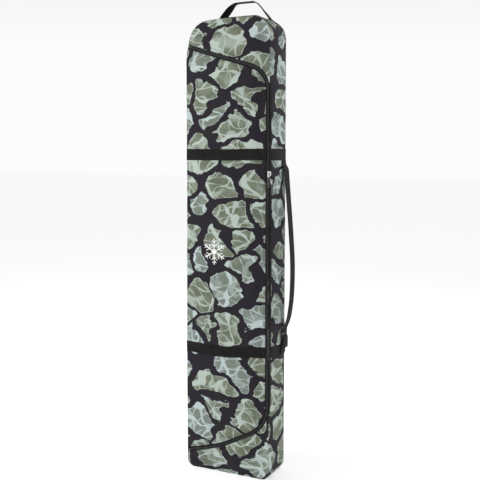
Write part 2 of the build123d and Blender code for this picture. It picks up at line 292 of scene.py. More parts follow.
def outline_run(x, z):
    """The distance s of points that lie on the outline."""
    across = np.abs(x)
    low = np.clip(np.arctan2(across - BASE_FLAT, BASE_RADIUS - z), 0, QUARTER)
    high = np.clip(np.arctan2(z - (HEIGHT - TOP_RADIUS), across - TOP_FLAT), 0, QUARTER)
    run = np.where(z < BASE_RADIUS, BASE_END + BASE_RADIUS * low, SIDE_START + z - BASE_RADIUS)
    run = np.where((z <= 1e-6) & (across < BASE_FLAT), across, run)
    run = np.where(z > HEIGHT - TOP_RADIUS, SIDE_END + TOP_RADIUS * high, run)
    run = np.where((z >= HEIGHT - 1e-6) & (across < TOP_FLAT), TOP_START + TOP_FLAT - across, run)
    return np.where(x < 0, OUTLINE - run, run)


def squared(x, z):
    """Where a point inside the outline lies on the square grid that fills it."""
    a, b = np.array(x, float), np.array(z, float)
    root = 2 * math.sqrt(2)
    for radius, centre, sign in ((TOP_RADIUS, HEIGHT - TOP_RADIUS, 1), (BASE_RADIUS, BASE_RADIUS, -1)):
        u = (np.abs(x) - (WIDTH / 2 - radius)) / radius
        v = sign * (z - centre) / radius
        corner = (u > 0) & (v > 0)
        d = u * u - v * v
        p = (np.sqrt(np.maximum(2 + d + root * u, 0)) - np.sqrt(np.maximum(2 + d - root * u, 0))) / 2
        q = (np.sqrt(np.maximum(2 - d + root * v, 0)) - np.sqrt(np.maximum(2 - d - root * v, 0))) / 2
        a = np.where(corner, np.sign(x) * (WIDTH / 2 - radius + radius * p), a)
        b = np.where(corner, centre + sign * radius * q, b)
    return a, b


def rounded(a, b):
    """The point inside the outline that a point of the square grid stands for."""
    x, z = a.copy(), b.copy()
    for radius, centre, sign in ((TOP_RADIUS, HEIGHT - TOP_RADIUS, 1), (BASE_RADIUS, BASE_RADIUS, -1)):
        p = (np.abs(a) - (WIDTH / 2 - radius)) / radius
        q = sign * (b - centre) / radius
        corner = (p > 0) & (q > 0)
        u = p * np.sqrt(np.clip(1 - q * q / 2, 0, 1))
        v = q * np.sqrt(np.clip(1 - p * p / 2, 0, 1))
        x = np.where(corner, np.sign(a) * (WIDTH / 2 - radius + radius * u), x)
        z = np.where(corner, centre + sign * radius * v, z)
    return x, z


# The stuffed form: how far each wall moves when the bag is filled

def form_grids():
    """The grid's rest points for the front and back walls and for the wall between them."""
    columns, levels = np.linspace(LEFT, RIGHT, ACROSS + 1), np.linspace(0, HEIGHT, UPWARD + 1)
    x, z = rounded(*np.meshgrid(columns, levels, indexing="ij"))
    half = ACROSS // 2
    ring = [(i, 0) for i in range(half, ACROSS)] + [(ACROSS, j) for j in range(UPWARD)]
    ring += [(i, UPWARD) for i in range(ACROSS, 0, -1)] + [(0, j) for j in range(UPWARD, 0, -1)]
    ring += [(i, 0) for i in range(half)]
    return x, z, ring


def form_mesh(x, z, ring):
    """The whole bag as one closed mesh, with the index of each grid point in it."""
    rows, columns = x.shape
    count = rows * columns
    front = np.arange(count).reshape(rows, columns)
    back = front + count
    depths = np.linspace(FRONT, BACK, THROUGH + 1)
    vertices = [np.stack([x, np.full_like(x, y), z], -1).reshape(-1, 3) for y in (FRONT, BACK)]
    wall = np.zeros((len(ring), THROUGH + 1), int)
    edge = np.array([(x[i, j], z[i, j]) for i, j in ring])
    wall[:, 0] = [front[i, j] for i, j in ring]
    wall[:, -1] = [back[i, j] for i, j in ring]
    for m in range(1, THROUGH):
        wall[:, m] = 2 * count + (m - 1) * len(ring) + np.arange(len(ring))
        vertices.append(np.column_stack([edge[:, 0], np.full(len(ring), depths[m]), edge[:, 1]]))
    faces = []
    for grid in (front, back[::-1], np.vstack([wall, wall[:1]])[:, ::-1]):
        faces += grid_faces(grid)
    return np.vstack(vertices), faces, front, back, wall


def inflate(vertices, faces, pinned, lightly_pinned):
    """Blow the form up as cloth under pressure and return where its vertices end."""
    mesh = bpy.data.meshes.new("form")
    mesh.from_pydata(vertices.tolist(), [], faces)
    form = bpy.data.objects.new("form", mesh)
    bpy.context.scene.collection.objects.link(form)
    group = form.vertex_groups.new(name="pin")
    group.add(lightly_pinned, BAND_PIN, "REPLACE")
    group.add(pinned, 1.0, "REPLACE")
    cloth = form.modifiers.new("Cloth", "CLOTH")
    settings = cloth.settings
    settings.quality = 6
    settings.mass = 0.3
    settings.tension_stiffness = 15
    settings.compression_stiffness = 15
    settings.shear_stiffness = 5
    settings.bending_stiffness = 1.2
    settings.use_pressure = True
    settings.uniform_pressure_force = 4.0
    settings.vertex_group_mass = "pin"
    settings.shrink_min = -0.014
    settings.effector_weights.gravity = 0.0
    cloth.collision_settings.use_collision = False
    cloth.point_cache.frame_end = FRAMES
    for number in range(1, FRAMES + 1):
        bpy.context.scene.frame_set(number)
    evaluated = form.evaluated_get(bpy.context.evaluated_depsgraph_get())
    moved = np.zeros(len(vertices) * 3, np.float32)
    evaluated.data.vertices.foreach_get("co", moved)
    bpy.context.scene.frame_set(1)
    bpy.data.objects.remove(form)
    return moved.reshape(-1, 3).astype(float)


def form_displacements():
    """How far each wall moves from its rest plane: front and back grids, and the ring between them."""
    x, z, ring = form_grids()
    vertices, faces, front, back, wall = form_mesh(x, z, ring)
    pinned = np.unique(np.concatenate([wall[:, 0], wall[:, -1]]))
    near_band = np.zeros(len(vertices), bool)
    for height in BAND_HEIGHTS.values():
        near_band |= np.abs(vertices[:, 2] - height) < 0.5 * BAND
    lightly = np.setdiff1d(np.flatnonzero(near_band), pinned)
    moved = inflate(vertices, faces, pinned.tolist(), lightly.tolist())
    change = moved - vertices
    fronts, backs, walls = sharpened(change[front]), sharpened(change[back]), change[wall]
    fronts *= FRONT_BULGE / np.percentile(np.abs(fronts[..., 1]), 99)
    backs *= BACK_BULGE / np.percentile(np.abs(backs[..., 1]), 99)
    edge = np.array([(x[i, j], z[i, j]) for i, j in ring])
    walls *= ring_scale(edge, walls)[:, None, None]
    return {"front": fronts, "back": backs, "wall": walls, "ring": ring_runs(edge)}


def sharpened(change):
    """A wall's movement with its small wrinkles made deeper than the broad bulge."""
    broad = change
    for _ in range(14):
        broad = np.concatenate([broad[:1], broad, broad[-1:]], 0)
        broad = (broad[:-2] + 2 * broad[1:-1] + broad[2:]) / 4
        broad = np.concatenate([broad[:, :1], broad, broad[:, -1:]], 1)
        broad = (broad[:, :-2] + 2 * broad[:, 1:-1] + broad[:, 2:]) / 4
    rim = np.minimum(np.arange(change.shape[0]), np.arange(change.shape[0])[::-1])[:, None]
    rim = np.minimum(rim, np.minimum(np.arange(change.shape[1]), np.arange(change.shape[1])[::-1])[None])
    return change + (change - broad) * (WRINKLE_GAIN * ease(0, 5, rim))[..., None]


def ring_scale(edge, walls):
    """How much of the inflated wall's movement is kept along the ring: sides, top and base differ."""
    reach = np.percentile(np.linalg.norm(walls, axis=-1), 97)
    top = ease(HEIGHT - TOP_RADIUS, HEIGHT - 0.2 * TOP_RADIUS, edge[:, 1])
    base = 1 - ease(0.3 * BASE_RADIUS, 2 * BASE_RADIUS, edge[:, 1])
    kept = SIDE_BULGE + top * (TOP_BULGE - SIDE_BULGE) + base * (BASE_BULGE - SIDE_BULGE)
    return kept / reach


def ring_runs(edge):
    """The outline distance of each ring point, growing from the middle of the base."""
    runs = outline_run(edge[:, 0], edge[:, 1])
    runs[0] = 0.0
    return runs


form = form_displacements()


# Finer relief than the simulated grid: seams pinch the padding and gather the fabric beside them

ZIP_LINE = rounded_line(ZIP_CORNERS, ZIP_RADII, ZIP_STEP)
RELIEF_STEP = 0.005
FOLD_WAVE = 0.021


def gathered(along, distance, seed, depth, pucker, reach):
    """The relief beside a seam: a soft valley with short folds that run away from it."""
    columns = int(np.max(distance) / (3 * FOLD_WAVE)) + 3
    rows = int(np.max(along) / FOLD_WAVE) + 3
    short, long = ripple(seed, rows, columns), ripple(seed + 1, rows, columns)
    folds = sample(short, along / FOLD_WAVE, distance / (3 * FOLD_WAVE))[..., 0]
    long_folds = sample(long, along / (2.6 * FOLD_WAVE), distance / (6 * FOLD_WAVE))[..., 0]
    near = np.exp(-distance / reach)
    return near * (pucker * folds - depth) + pucker * long_folds * np.exp(-distance / (2.5 * reach))


def zip_place(x, z):
    """How far along the zip's line points are, and how far from the edge of its tapes."""
    points = np.stack([x.ravel(), z.ravel()], 1)
    nearest = np.full(len(points), 1e9)
    along = np.zeros(len(points))
    stride = 2
    for index, spot in enumerate(ZIP_LINE[::stride]):
        gap = np.hypot(points[:, 0] - spot[0], points[:, 1] - spot[1])
        closer = gap < nearest
        nearest[closer] = gap[closer]
        along[closer] = index * (stride * ZIP_STEP)
    return along.reshape(x.shape), np.maximum(nearest.reshape(x.shape) - TAPE_REACH, 0)


def flat_grid():
    """The places (x, z) of a regular grid over the front or the back."""
    rows, columns = int(WIDTH / RELIEF_STEP) + 1, int(HEIGHT / RELIEF_STEP) + 1
    return np.meshgrid(np.linspace(LEFT, RIGHT, rows), np.linspace(0, HEIGHT, columns), indexing="ij")


def beside_bands(z):
    """How far heights are from the edge of each band, 0 under it."""
    return [np.maximum(np.abs(z - height) - BAND / 2, 0) for height in BAND_HEIGHTS.values()]


def slack(seed, x, z):
    """Slow unevenness of a broad panel, from -1 to 1."""
    return sample(ripple(seed, 8, 26), x * 18 + 3, z * 15)[..., 0]


def front_relief():
    """The relief of the front on a regular grid."""
    x, z = flat_grid()
    along, gap = zip_place(x, z)
    total = gathered(along, gap, 11, 0.0022, 0.0012, 0.011)
    total = total + gathered(z, x - LEFT, 21, 0.0004, 0.0012, 0.016)
    for seed, beside in zip((31, 41), beside_bands(z)):
        total = total + gathered(x - LEFT, beside, seed, 0.0020, 0.0009, 0.014)
    total = total + gathered(x - LEFT, HEIGHT - z, 51, 0.0, 0.0014, 0.018)
    total = total + gathered(x - LEFT, z, 61, 0.0, 0.0010, 0.018)
    return (total + 0.0016 * slack(71, x, z))[..., None]


def back_relief():
    """The relief of the back on a regular grid."""
    x, z = flat_grid()
    total = gathered(z, x - LEFT, 121, 0.0, 0.0012, 0.016) + gathered(z, RIGHT - x, 131, 0.0, 0.0012, 0.016)
    for seed, beside in zip((141, 151), beside_bands(z)):
        total = total + gathered(x - LEFT, beside, seed, 0.0018, 0.0009, 0.014)
    return (total + 0.0014 * slack(161, x, z))[..., None]


def wall_relief():
    """The relief of the wall between front and back, on a grid of outline distance and depth."""
    rows, columns = int(OUTLINE / RELIEF_STEP), int(DEPTH / RELIEF_STEP) + 1
    runs, depths = np.arange(rows) * OUTLINE / rows, np.linspace(FRONT, BACK, columns)
    s, y = np.meshgrid(runs, depths, indexing="ij")
    total = gathered(s, y - FRONT, 221, 0.0, 0.0013, 0.017) + gathered(s, BACK - y, 231, 0.0, 0.0013, 0.017)
    for beside in beside_bands(outline_point(s)[..., 1]):
        total = total - 0.0016 * np.exp(-beside / 0.014)
    return total[..., None]


relief = {"front": front_relief(), "back": back_relief(), "wall": wall_relief()}


def slumped(points):
    """Points of the form with the top left shoulder drawn in and down and the left side sagging out below."""
    high = ease(HEIGHT - 0.14, HEIGHT - 0.03, points[..., 2])
    leftward = np.clip((RIGHT - points[..., 0]) / WIDTH, 0, 1)
    drop = ease(0.02, -0.15, points[..., 0]) * ease(HEIGHT - TOP_RADIUS, HEIGHT, points[..., 2])
    moved = points.copy()
    low = 1 - ease(0.25, 1.25, points[..., 2])
    moved[..., 0] += (SHOULDER_IN * high - SAG_OUT * low) * leftward
    moved[..., 2] -= SHOULDER_DROP * drop
    return moved


def front_surface(x, z):
    """The stuffed front wall at flat positions (x, z)."""
    a, b = squared(x, z)
    change = sample(form["front"], (a - LEFT) / WIDTH * ACROSS, b / HEIGHT * UPWARD)
    change[..., 1] -= sample(relief["front"], (x - LEFT) / RELIEF_STEP, z / RELIEF_STEP)[..., 0]
    calm = ease(0.012, 0.055, RIGHT - x) * ease(0, 0.010, x - LEFT + 0.003)
    return slumped(np.stack([x, np.full_like(x, FRONT), z], -1) + change * calm[..., None])


def back_surface(x, z):
    """The stuffed back wall at flat positions (x, z)."""
    a, b = squared(x, z)
    change = sample(form["back"], (a - LEFT) / WIDTH * ACROSS, b / HEIGHT * UPWARD)
    rim = np.minimum(np.minimum(x - LEFT, RIGHT - x), HEIGHT - z)
    folds = sample(relief["back"], (x - LEFT) / RELIEF_STEP, z / RELIEF_STEP)[..., 0]
    change[..., 1] += folds * ease(-0.003, 0.010, rim)
    return slumped(np.stack([x, np.full_like(x, BACK), z], -1) + change)


def wall_surface(s, y):
    """The stuffed wall between front and back, at distance s round the outline and depth y."""
    edge = outline_point(s)
    ring = np.append(form["ring"], OUTLINE)
    row = np.interp(np.mod(s, OUTLINE), ring, np.arange(len(ring)))
    change = sample(form["wall"], row, (y - FRONT) / DEPTH * THROUGH, wrap=True)
    y = y + 0 * edge[..., 0]
    row = s / OUTLINE * len(relief["wall"])
    folds = sample(relief["wall"], row, (y - FRONT) / RELIEF_STEP, wrap=True)[..., 0]
    rim = np.minimum(y - FRONT, BACK - y)
    ahead = outline_point(s + 0.001) - outline_point(s - 0.001)
    folds = folds * ease(-0.002, 0.010, rim) * ease(0.0, 0.05, edge[..., 1]) / 0.002
    settled = np.stack([edge[..., 0], y, edge[..., 1]], -1) + change
    settled[..., 0] += folds * ahead[..., 1]
    settled[..., 2] -= folds * ahead[..., 0]
    settled[..., 2] = np.maximum(settled[..., 2], 0.0)
    return slumped(settled)


def lifted(surface, a, b, lift):
    """Points at a height above a surface, and the surface's outward directions there."""
    a, b = np.broadcast_arrays(np.asarray(a, float), np.asarray(b, float))
    step = 0.0015
    along_a = surface(a + step, b) - surface(a - step, b)
    along_b = surface(a, b + step) - surface(a, b - step)
    outward = unit(np.cross(along_a, along_b))
    if surface is not front_surface:
        outward = -outward
    return surface(a, b) + outward * np.asarray(lift)[..., None], outward


# Meshes

def new_piece(name, vertices, faces, flat, material, crease=40):
    """A closed mesh object with its flat coordinates, facing outward."""
    mesh = bpy.data.meshes.new(name)
    mesh.from_pydata(np.asarray(vertices).tolist(), [], faces)
    attribute = mesh.attributes.new("flat", "FLOAT_VECTOR", "POINT")
    attribute.data.foreach_set("vector", np.asarray(flat, np.float32).ravel())
    edit = bmesh.new()
    edit.from_mesh(mesh)
    bmesh.ops.recalc_face_normals(edit, faces=edit.faces)
    edit.to_mesh(mesh)
    edit.free()
    mesh.polygons.foreach_set("use_smooth", [True] * len(mesh.polygons))
    mesh.set_sharp_from_angle(angle=math.radians(crease))
    mesh.materials.append(material)
    piece = bpy.data.objects.new(name, mesh)
    bpy.context.scene.collection.objects.link(piece)
    return piece


def bridge(first, second):
    """Quads between two closed loops of indices."""
    return [[first[k - 1], first[k], second[k], second[k - 1]] for k in range(len(first))]


def sheet_piece(name, outer, inner, flat, material):
    """A sheet with thickness from two grids of points."""
    rows, columns = outer.shape[:2]
    count = rows * columns
    index = np.arange(count).reshape(rows, columns)
    rim = np.concatenate([index[0, :-1], index[:-1, -1], index[-1, :0:-1], index[:0:-1, 0]])
    faces = grid_faces(index) + grid_faces(index + count) + bridge(rim.tolist(), (rim + count).tolist())
    vertices = np.vstack([outer.reshape(-1, 3), inner.reshape(-1, 3)])
    flats = np.vstack([flat.reshape(-1, 3)] * 2)
    return new_piece(name, vertices, faces, flats, material)


def stamped(name, template, faces, places, axes, material):
    """Copies of a small template, one at each place, turned to its three axes."""
    points = np.einsum("tk,nkc->ntc", template, axes) + places[:, None, :]
    offsets = np.arange(len(places)) * len(template)
    all_faces = [[corner + offset for corner in face] for offset in offsets.tolist() for face in faces]
    flat = np.repeat(offsets[:, None] * [0.001, 0, 0], len(template), 0)
    return new_piece(name, points.reshape(-1, 3), all_faces, flat, material, crease=70)


def bead_template(length, radius):
    """A small rounded bar along the first axis."""
    stations = [(-0.5, 0.0), (-0.42, 0.75), (-0.18, 1.0), (0.18, 1.0), (0.42, 0.75), (0.5, 0.0)]
    sides = 6
    points = [(stations[0][0] * length, 0.0, 0.0)]
    for place, size in stations[1:-1]:
        for angle in [2 * math.pi * k / sides for k in range(sides)]:
            points.append((place * length, size * radius * math.cos(angle), size * radius * math.sin(angle)))
    points.append((stations[-1][0] * length, 0.0, 0.0))
    rings = len(stations) - 2
    faces = [[0, 1 + k, 1 + (k + 1) % sides] for k in range(sides)]
    for ring in range(rings - 1):
        for k in range(sides):
            here, onward = 1 + ring * sides, 1 + (ring + 1) * sides
            faces.append([here + k, onward + k, onward + (k + 1) % sides, here + (k + 1) % sides])
    last = len(points) - 1
    faces += [[last, last - sides + (k + 1) % sides, last - sides + k] for k in range(sides)]
    return np.array(points), faces


def inside(points, loop):
    """Which points lie inside a closed loop."""
    found = np.zeros(len(points), bool)
    for (x0, z0), (x1, z1) in zip(loop, np.roll(loop, -1, 0)):
        if z0 == z1:
            continue
        crosses = (z0 > points[:, 1]) != (z1 > points[:, 1])
        found ^= crosses & (points[:, 0] < (x1 - x0) * (points[:, 1] - z0) / (z1 - z0) + x0)
    return found


def edge_distance(points, loop):
    """How far points are from a closed loop."""
    runs = np.roll(loop, -1, 0) - loop
    squares = np.maximum((runs ** 2).sum(1), 1e-18)
    nearest = np.full(len(points), 1e9)
    for start, run, square in zip(loop, runs, squares):
        t = np.clip(((points - start) @ run) / square, 0, 1)
        gap = np.linalg.norm(points - start - t[:, None] * run, axis=1)
        nearest = np.minimum(nearest, gap)
    return nearest


def inset_loop(loop, distance):
    """A closed counter-clockwise loop moved inward, without the points that would cross its own edge."""
    along = unit(np.roll(loop, -1, 0) - np.roll(loop, 1, 0))
    moved = loop + distance * np.column_stack([-along[:, 1], along[:, 0]])
    kept = inside(moved, loop) & (edge_distance(moved, loop) > 0.93 * distance)
    return moved[kept]


def filled(loop, spacing, rows):
    """A triangulated flat shape: its points, triangles and distances to the edge."""
    inner = [inset_loop(loop, row) for row in rows]
    low, high = loop.min(0), loop.max(0)
    xs = np.arange(low[0], high[0], spacing)
    zs = np.arange(low[1], high[1], spacing * 0.87)
    grid_x, grid_z = np.meshgrid(xs, zs)
    grid_x = grid_x + (np.arange(len(zs)) % 2)[:, None] * spacing / 2
    grid = np.column_stack([grid_x.ravel(), grid_z.ravel()])
    grid = grid[inside(grid, loop)]
    grid = grid[edge_distance(grid, loop) > rows[-1] + 0.55 * spacing]
    points = np.vstack([loop, *inner, grid])
    edges = [(k, (k + 1) % len(loop)) for k in range(len(loop))]
    result = delaunay_2d_cdt([Vector(p) for p in points.tolist()], edges, [], 1, 1e-7)
    flat_points = np.array([tuple(p) for p in result[0]])
    first_of = {}
    for index, sources in enumerate(result[3]):
        for source in sources:
            first_of[source] = index
    boundary = [first_of[k] for k in range(len(loop))]
    distances = edge_distance(flat_points, loop)
    return flat_points, [list(face) for face in result[2]], boundary, distances


def cut_piece(name, loop, surface, material, lift, thickness, spacing, hem=0.0, origin=(0, 0, 0),
              wrapped=0.0):
    """A flat-cut sheet laid on a surface, with rounded edges that sink into its seam.

    With hem, a strip beside the edge is thicker. With wrapped, the sheet rises by that much at its edge."""
    loop = evenly(loop, 0.7 * spacing, closed=True)
    area = 0.5 * np.sum(loop[:, 0] * np.roll(loop[:, 1], -1) - np.roll(loop[:, 0], -1) * loop[:, 1])
    if area < 0:
        loop = loop[::-1]
    points, faces, boundary, distance = filled(loop, spacing, (EDGE_ROUND, 0.0032, 0.0070))
    drop = edge_drop(distance, thickness)
    raised = hem * (ease(0.0, 0.0015, distance) - ease(0.006, 0.0085, distance))
    lift = lift + wrapped * (1 - ease(0.0005, 0.0050, distance))
    outer, _ = lifted(surface, points[:, 0], points[:, 1], lift - drop + raised)
    inner, _ = lifted(surface, points[:, 0], points[:, 1], lift - thickness - 0.4 * drop)
    count = len(points)
    all_faces = faces + [[k + count for k in face] for face in faces]
    all_faces += bridge(boundary, [k + count for k in boundary])
    flat = np.column_stack([points, np.zeros(count)]) + np.array(origin)
    return new_piece(name, np.vstack([outer, inner]), all_faces, np.vstack([flat, flat]), material)


EDGE_ROUND = 0.0009


def edge_drop(distance, thickness):
    """How far a sheet's outside sinks towards its sewn edge."""
    short = 1 - np.clip(distance / EDGE_ROUND, 0, 1)
    corner = 1 - np.sqrt(np.clip(1 - short ** 2, 0, 1))
    return 0.45 * thickness * (corner + np.exp(-distance / 0.004))


def webbing_ring(width, thickness):
    """The cross-section of webbing as (across, out, distance round) rows, with thicker woven edges."""
    half = width / 2
    across = np.array([-1.0, -0.985, -0.93, -0.86, -0.5, 0.0, 0.5, 0.86, 0.93, 0.985, 1.0]) * half
    swell = np.array([0.25, 0.9, 1.12, 1.0, 0.97, 0.96, 0.97, 1.0, 1.12, 0.9, 0.25]) * thickness / 2
    upper = np.column_stack([across, swell, across])
    lower = np.column_stack([across, -swell, across])[::-1]
    return np.vstack([upper, lower])


def webbing_piece(name, centres, sides, outs, width, thickness):
    """A strip of webbing along centres, with its width along sides and its face along outs."""
    ring = webbing_ring(width, thickness)
    points = centres[:, None] + ring[None, :, 0:1] * sides[:, None] + ring[None, :, 1:2] * outs[:, None]
    flat = np.zeros(points.shape)
    flat[..., 0] = run_along(centres)[:, None]
    flat[..., 1] = ring[None, :, 2]
    index = np.arange(points.shape[0] * points.shape[1]).reshape(points.shape[:2])
    faces = grid_faces(np.hstack([index, index[:, :1]])) + [index[0].tolist(), index[-1].tolist()]
    return new_piece(name, points.reshape(-1, 3), faces, flat.reshape(-1, 3), webbing, crease=60)


def stitch_line(places, outward):
    """The places and axes of the stitches along a line that lies on a surface."""
    run = run_along(places)
    at = np.arange(STITCH_PITCH / 2, run[-1], STITCH_PITCH)
    outs = unit(at_runs(at, run, outward))
    ahead = at_runs(at + STITCH_PITCH / 4, run, places)
    behind = at_runs(at - STITCH_PITCH / 4, run, places)
    along = unit(ahead - behind)
    return at_runs(at, run, places), np.stack([along, np.cross(outs, along), outs], 1)


def sew(name, lines, slot, body):
    """Thread stitches along several lines, as one piece on a body."""
    template, faces = bead_template(STITCH_LENGTH, STITCH_RADIUS)
    spots, axes = zip(*[stitch_line(places, outward) for places, outward in lines])
    piece = stamped(name, template, faces, np.vstack(spots), np.vstack(axes), thread)
    finish_piece(piece, slot, body)


# Materials

class Shader:
    """A material and short calls to add nodes to it."""

    def __init__(self, name, colour, roughness, **sockets):
        self.material = bpy.data.materials.new(name)
        self.material.use_nodes = True
        self.tree = self.material.node_tree
        self.surface = self.tree.nodes["Principled BSDF"]
        self.surface.inputs["Base Color"].default_value = (*colour, 1)
        self.surface.inputs["Roughness"].default_value = roughness
        for socket, value in sockets.items():
            self.surface.inputs[socket.replace("_", " ")].default_value = value

    def node(self, kind, output, inputs, **settings):
        """Add a node, set or link its inputs, and return one of its outputs."""
        made = self.tree.nodes.new(kind)
        for name, value in settings.items():
            setattr(made, name, value)
        for socket, value in inputs.items():
            if isinstance(value, bpy.types.NodeSocket):
                self.tree.links.new(value, made.inputs[socket])
            else:
                made.inputs[socket].default_value = value
        return made.outputs[output]

    def flat(self):
        """The piece's flat coordinates in metres."""
        return self.node("ShaderNodeAttribute", "Vector", {}, attribute_name="flat")

    def object_space(self):
        """The object's own coordinates in metres."""
        return self.node("ShaderNodeTexCoord", "Object", {})

    def math(self, operation, first, second=0.0, third=0.0):
        """One arithmetic step."""
        return self.node("ShaderNodeMath", 0, {0: first, 1: second, 2: third}, operation=operation)

    def scaled(self, vector, scale):
        """A vector times a vector of factors."""
        return self.node("ShaderNodeVectorMath", 0, {0: vector, 1: scale}, operation="MULTIPLY")

    def shifted(self, vector, noise, amount):
        """A vector moved by a noise colour, up to about amount each way."""
        centred = self.node("ShaderNodeVectorMath", 0, {0: noise, 1: (0.5, 0.5, 0.5)}, operation="SUBTRACT")
        step = self.node("ShaderNodeVectorMath", 0, {0: centred, "Scale": amount}, operation="SCALE")
        return self.node("ShaderNodeVectorMath", 0, {0: vector, 1: step}, operation="ADD")

    def turned(self, vector, angle):
        """A vector turned in its plane."""
        inputs = {"Vector": vector, "Angle": angle}
        return self.node("ShaderNodeVectorRotate", 0, inputs, rotation_type="Z_AXIS")

    def noise(self, vector, scale, detail=2.0, output=0, distortion=0.0, dimensions="2D"):
        """Smooth noise, as a value (output 0) or a colour (output 1)."""
        inputs = {"Vector": vector, "Scale": scale, "Detail": detail, "Distortion": distortion}
        return self.node("ShaderNodeTexNoise", output, inputs, noise_dimensions=dimensions)

    def cells(self, vector, scale, feature, output):
        """A cell pattern."""
        inputs = {"Vector": vector, "Scale": scale, "Randomness": 0.92}
        settings = {"feature": feature, "voronoi_dimensions": "2D"}
        return self.node("ShaderNodeTexVoronoi", output, inputs, **settings)

    def between(self, value, low, high, start=0.0, end=1.0):
        """A smooth step of value from start at low to end at high."""
        inputs = {"Value": value, "From Min": low, "From Max": high, "To Min": start, "To Max": end}
        return self.node("ShaderNodeMapRange", 0, inputs, interpolation_type="SMOOTHSTEP")

    def mixed(self, factor, first, second):
        """A blend of two colours, each given as a triple or as another node's output."""
        inputs = {0: factor, 6: opaque(first), 7: opaque(second)}
        return self.node("ShaderNodeMix", 2, inputs, data_type="RGBA")

    def threads(self, vector, pitch_across, pitch_along):
        """A plain weave's height, from threads over and under."""
        parts = self.node("ShaderNodeSeparateXYZ", 0, {0: vector})
        other = parts.node.outputs[1]
        across = self.math("SINE", self.math("MULTIPLY", parts, 2 * math.pi / pitch_across))
        along = self.math("SINE", self.math("MULTIPLY", other, 2 * math.pi / pitch_along))
        return self.math("MULTIPLY_ADD", self.math("MULTIPLY", across, along), 0.5, 0.5)

    def bump(self, height, distance, strength=1.0, under=None):
        """A bump from a height, optionally over another bump."""
        inputs = {"Height": height, "Distance": distance, "Strength": strength}
        if under is not None:
            inputs["Normal"] = under
        return self.node("ShaderNodeBump", 0, inputs)

    def set(self, socket, value):
        """Link a value to the surface."""
        self.tree.links.new(value, self.surface.inputs[socket])


def opaque(colour):
    """A colour triple with its alpha, or a node's output as it is."""
    return (*colour, 1) if isinstance(colour, tuple) else colour


# Colours of the print: its ground, the dark and the pale parts of its patches
GROUND = (0.017, 0.014, 0.022)
GROUND_WARM = (0.020, 0.017, 0.020)
OLIVE = (0.186, 0.209, 0.150)
OLIVE_DEEP = (0.126, 0.146, 0.104)
SLATE = (0.196, 0.232, 0.212)
SAGE = (0.455, 0.530, 0.478)
MIST = (0.490, 0.580, 0.585)


def camo_patches(shader, place):
    """The printed patches: how far inside one a point is, a random colour for each, and warped places."""
    warped = place
    for scale, detail, amount in ((1.1, 1.5, 0.70), (3.4, 1.0, 0.20), (13.0, 1.0, 0.045)):
        warped = shader.shifted(warped, shader.noise(place, scale, detail, output=1), amount)
    edge = shader.cells(warped, 1.0, "DISTANCE_TO_EDGE", "Distance")
    centre = shader.cells(warped, 1.0, "F1", "Distance")
    tint = shader.cells(warped, 1.0, "F1", "Color")
    parts = shader.node("ShaderNodeSeparateColor", 0, {0: tint})
    spread = shader.between(shader.noise(place, 1.1, 1.0), 0.3, 0.7, 0.034, 0.110)
    gap = shader.math("MULTIPLY_ADD", parts, 0.045, spread)
    reach = shader.math("MULTIPLY", shader.math("SUBTRACT", 0.66, centre), 0.62)
    depth = shader.math("SMOOTH_MIN", shader.math("SUBTRACT", edge, gap), reach, 0.10)
    return depth, parts, warped


def brush_lines(shader, place, angle, density, half_width):
    """Long pale strokes across the patches, at one angle in each patch."""
    turned = shader.node("ShaderNodeSeparateXYZ", 0, {0: shader.turned(place, angle)})
    drift = shader.noise(place, 1.1, 1.0)
    straight = shader.math("MULTIPLY_ADD", turned, density, angle)
    course = shader.math("ADD", straight, shader.math("MULTIPLY", drift, 1.6))
    offset = shader.math("ABSOLUTE", shader.math("SUBTRACT", shader.math("FRACT", course), 0.5))
    pressure = shader.between(shader.noise(place, 2.6, 1.0), 0.30, 0.70, 0.35, 1.5)
    reach = shader.math("MULTIPLY", pressure, half_width)
    inside_line = shader.math("DIVIDE", offset, reach)
    return shader.between(inside_line, 0.75, 1.15, 1.0, 0.0)


def camo_streaks(shader, place, parts):
    """Light brush strokes that cross inside the patches."""
    turn = shader.math("MULTIPLY", parts, 6.0)
    strokes = brush_lines(shader, place, turn, 1.35, 0.105)
    for more_turn, density, half_width, strength in ((1.25, 1.9, 0.085, 0.85), (2.2, 3.1, 0.075, 0.7)):
        crossing = brush_lines(shader, place, shader.math("ADD", turn, more_turn), density, half_width)
        strokes = shader.math("MAXIMUM", strokes, shader.math("MULTIPLY", crossing, strength))
    return strokes


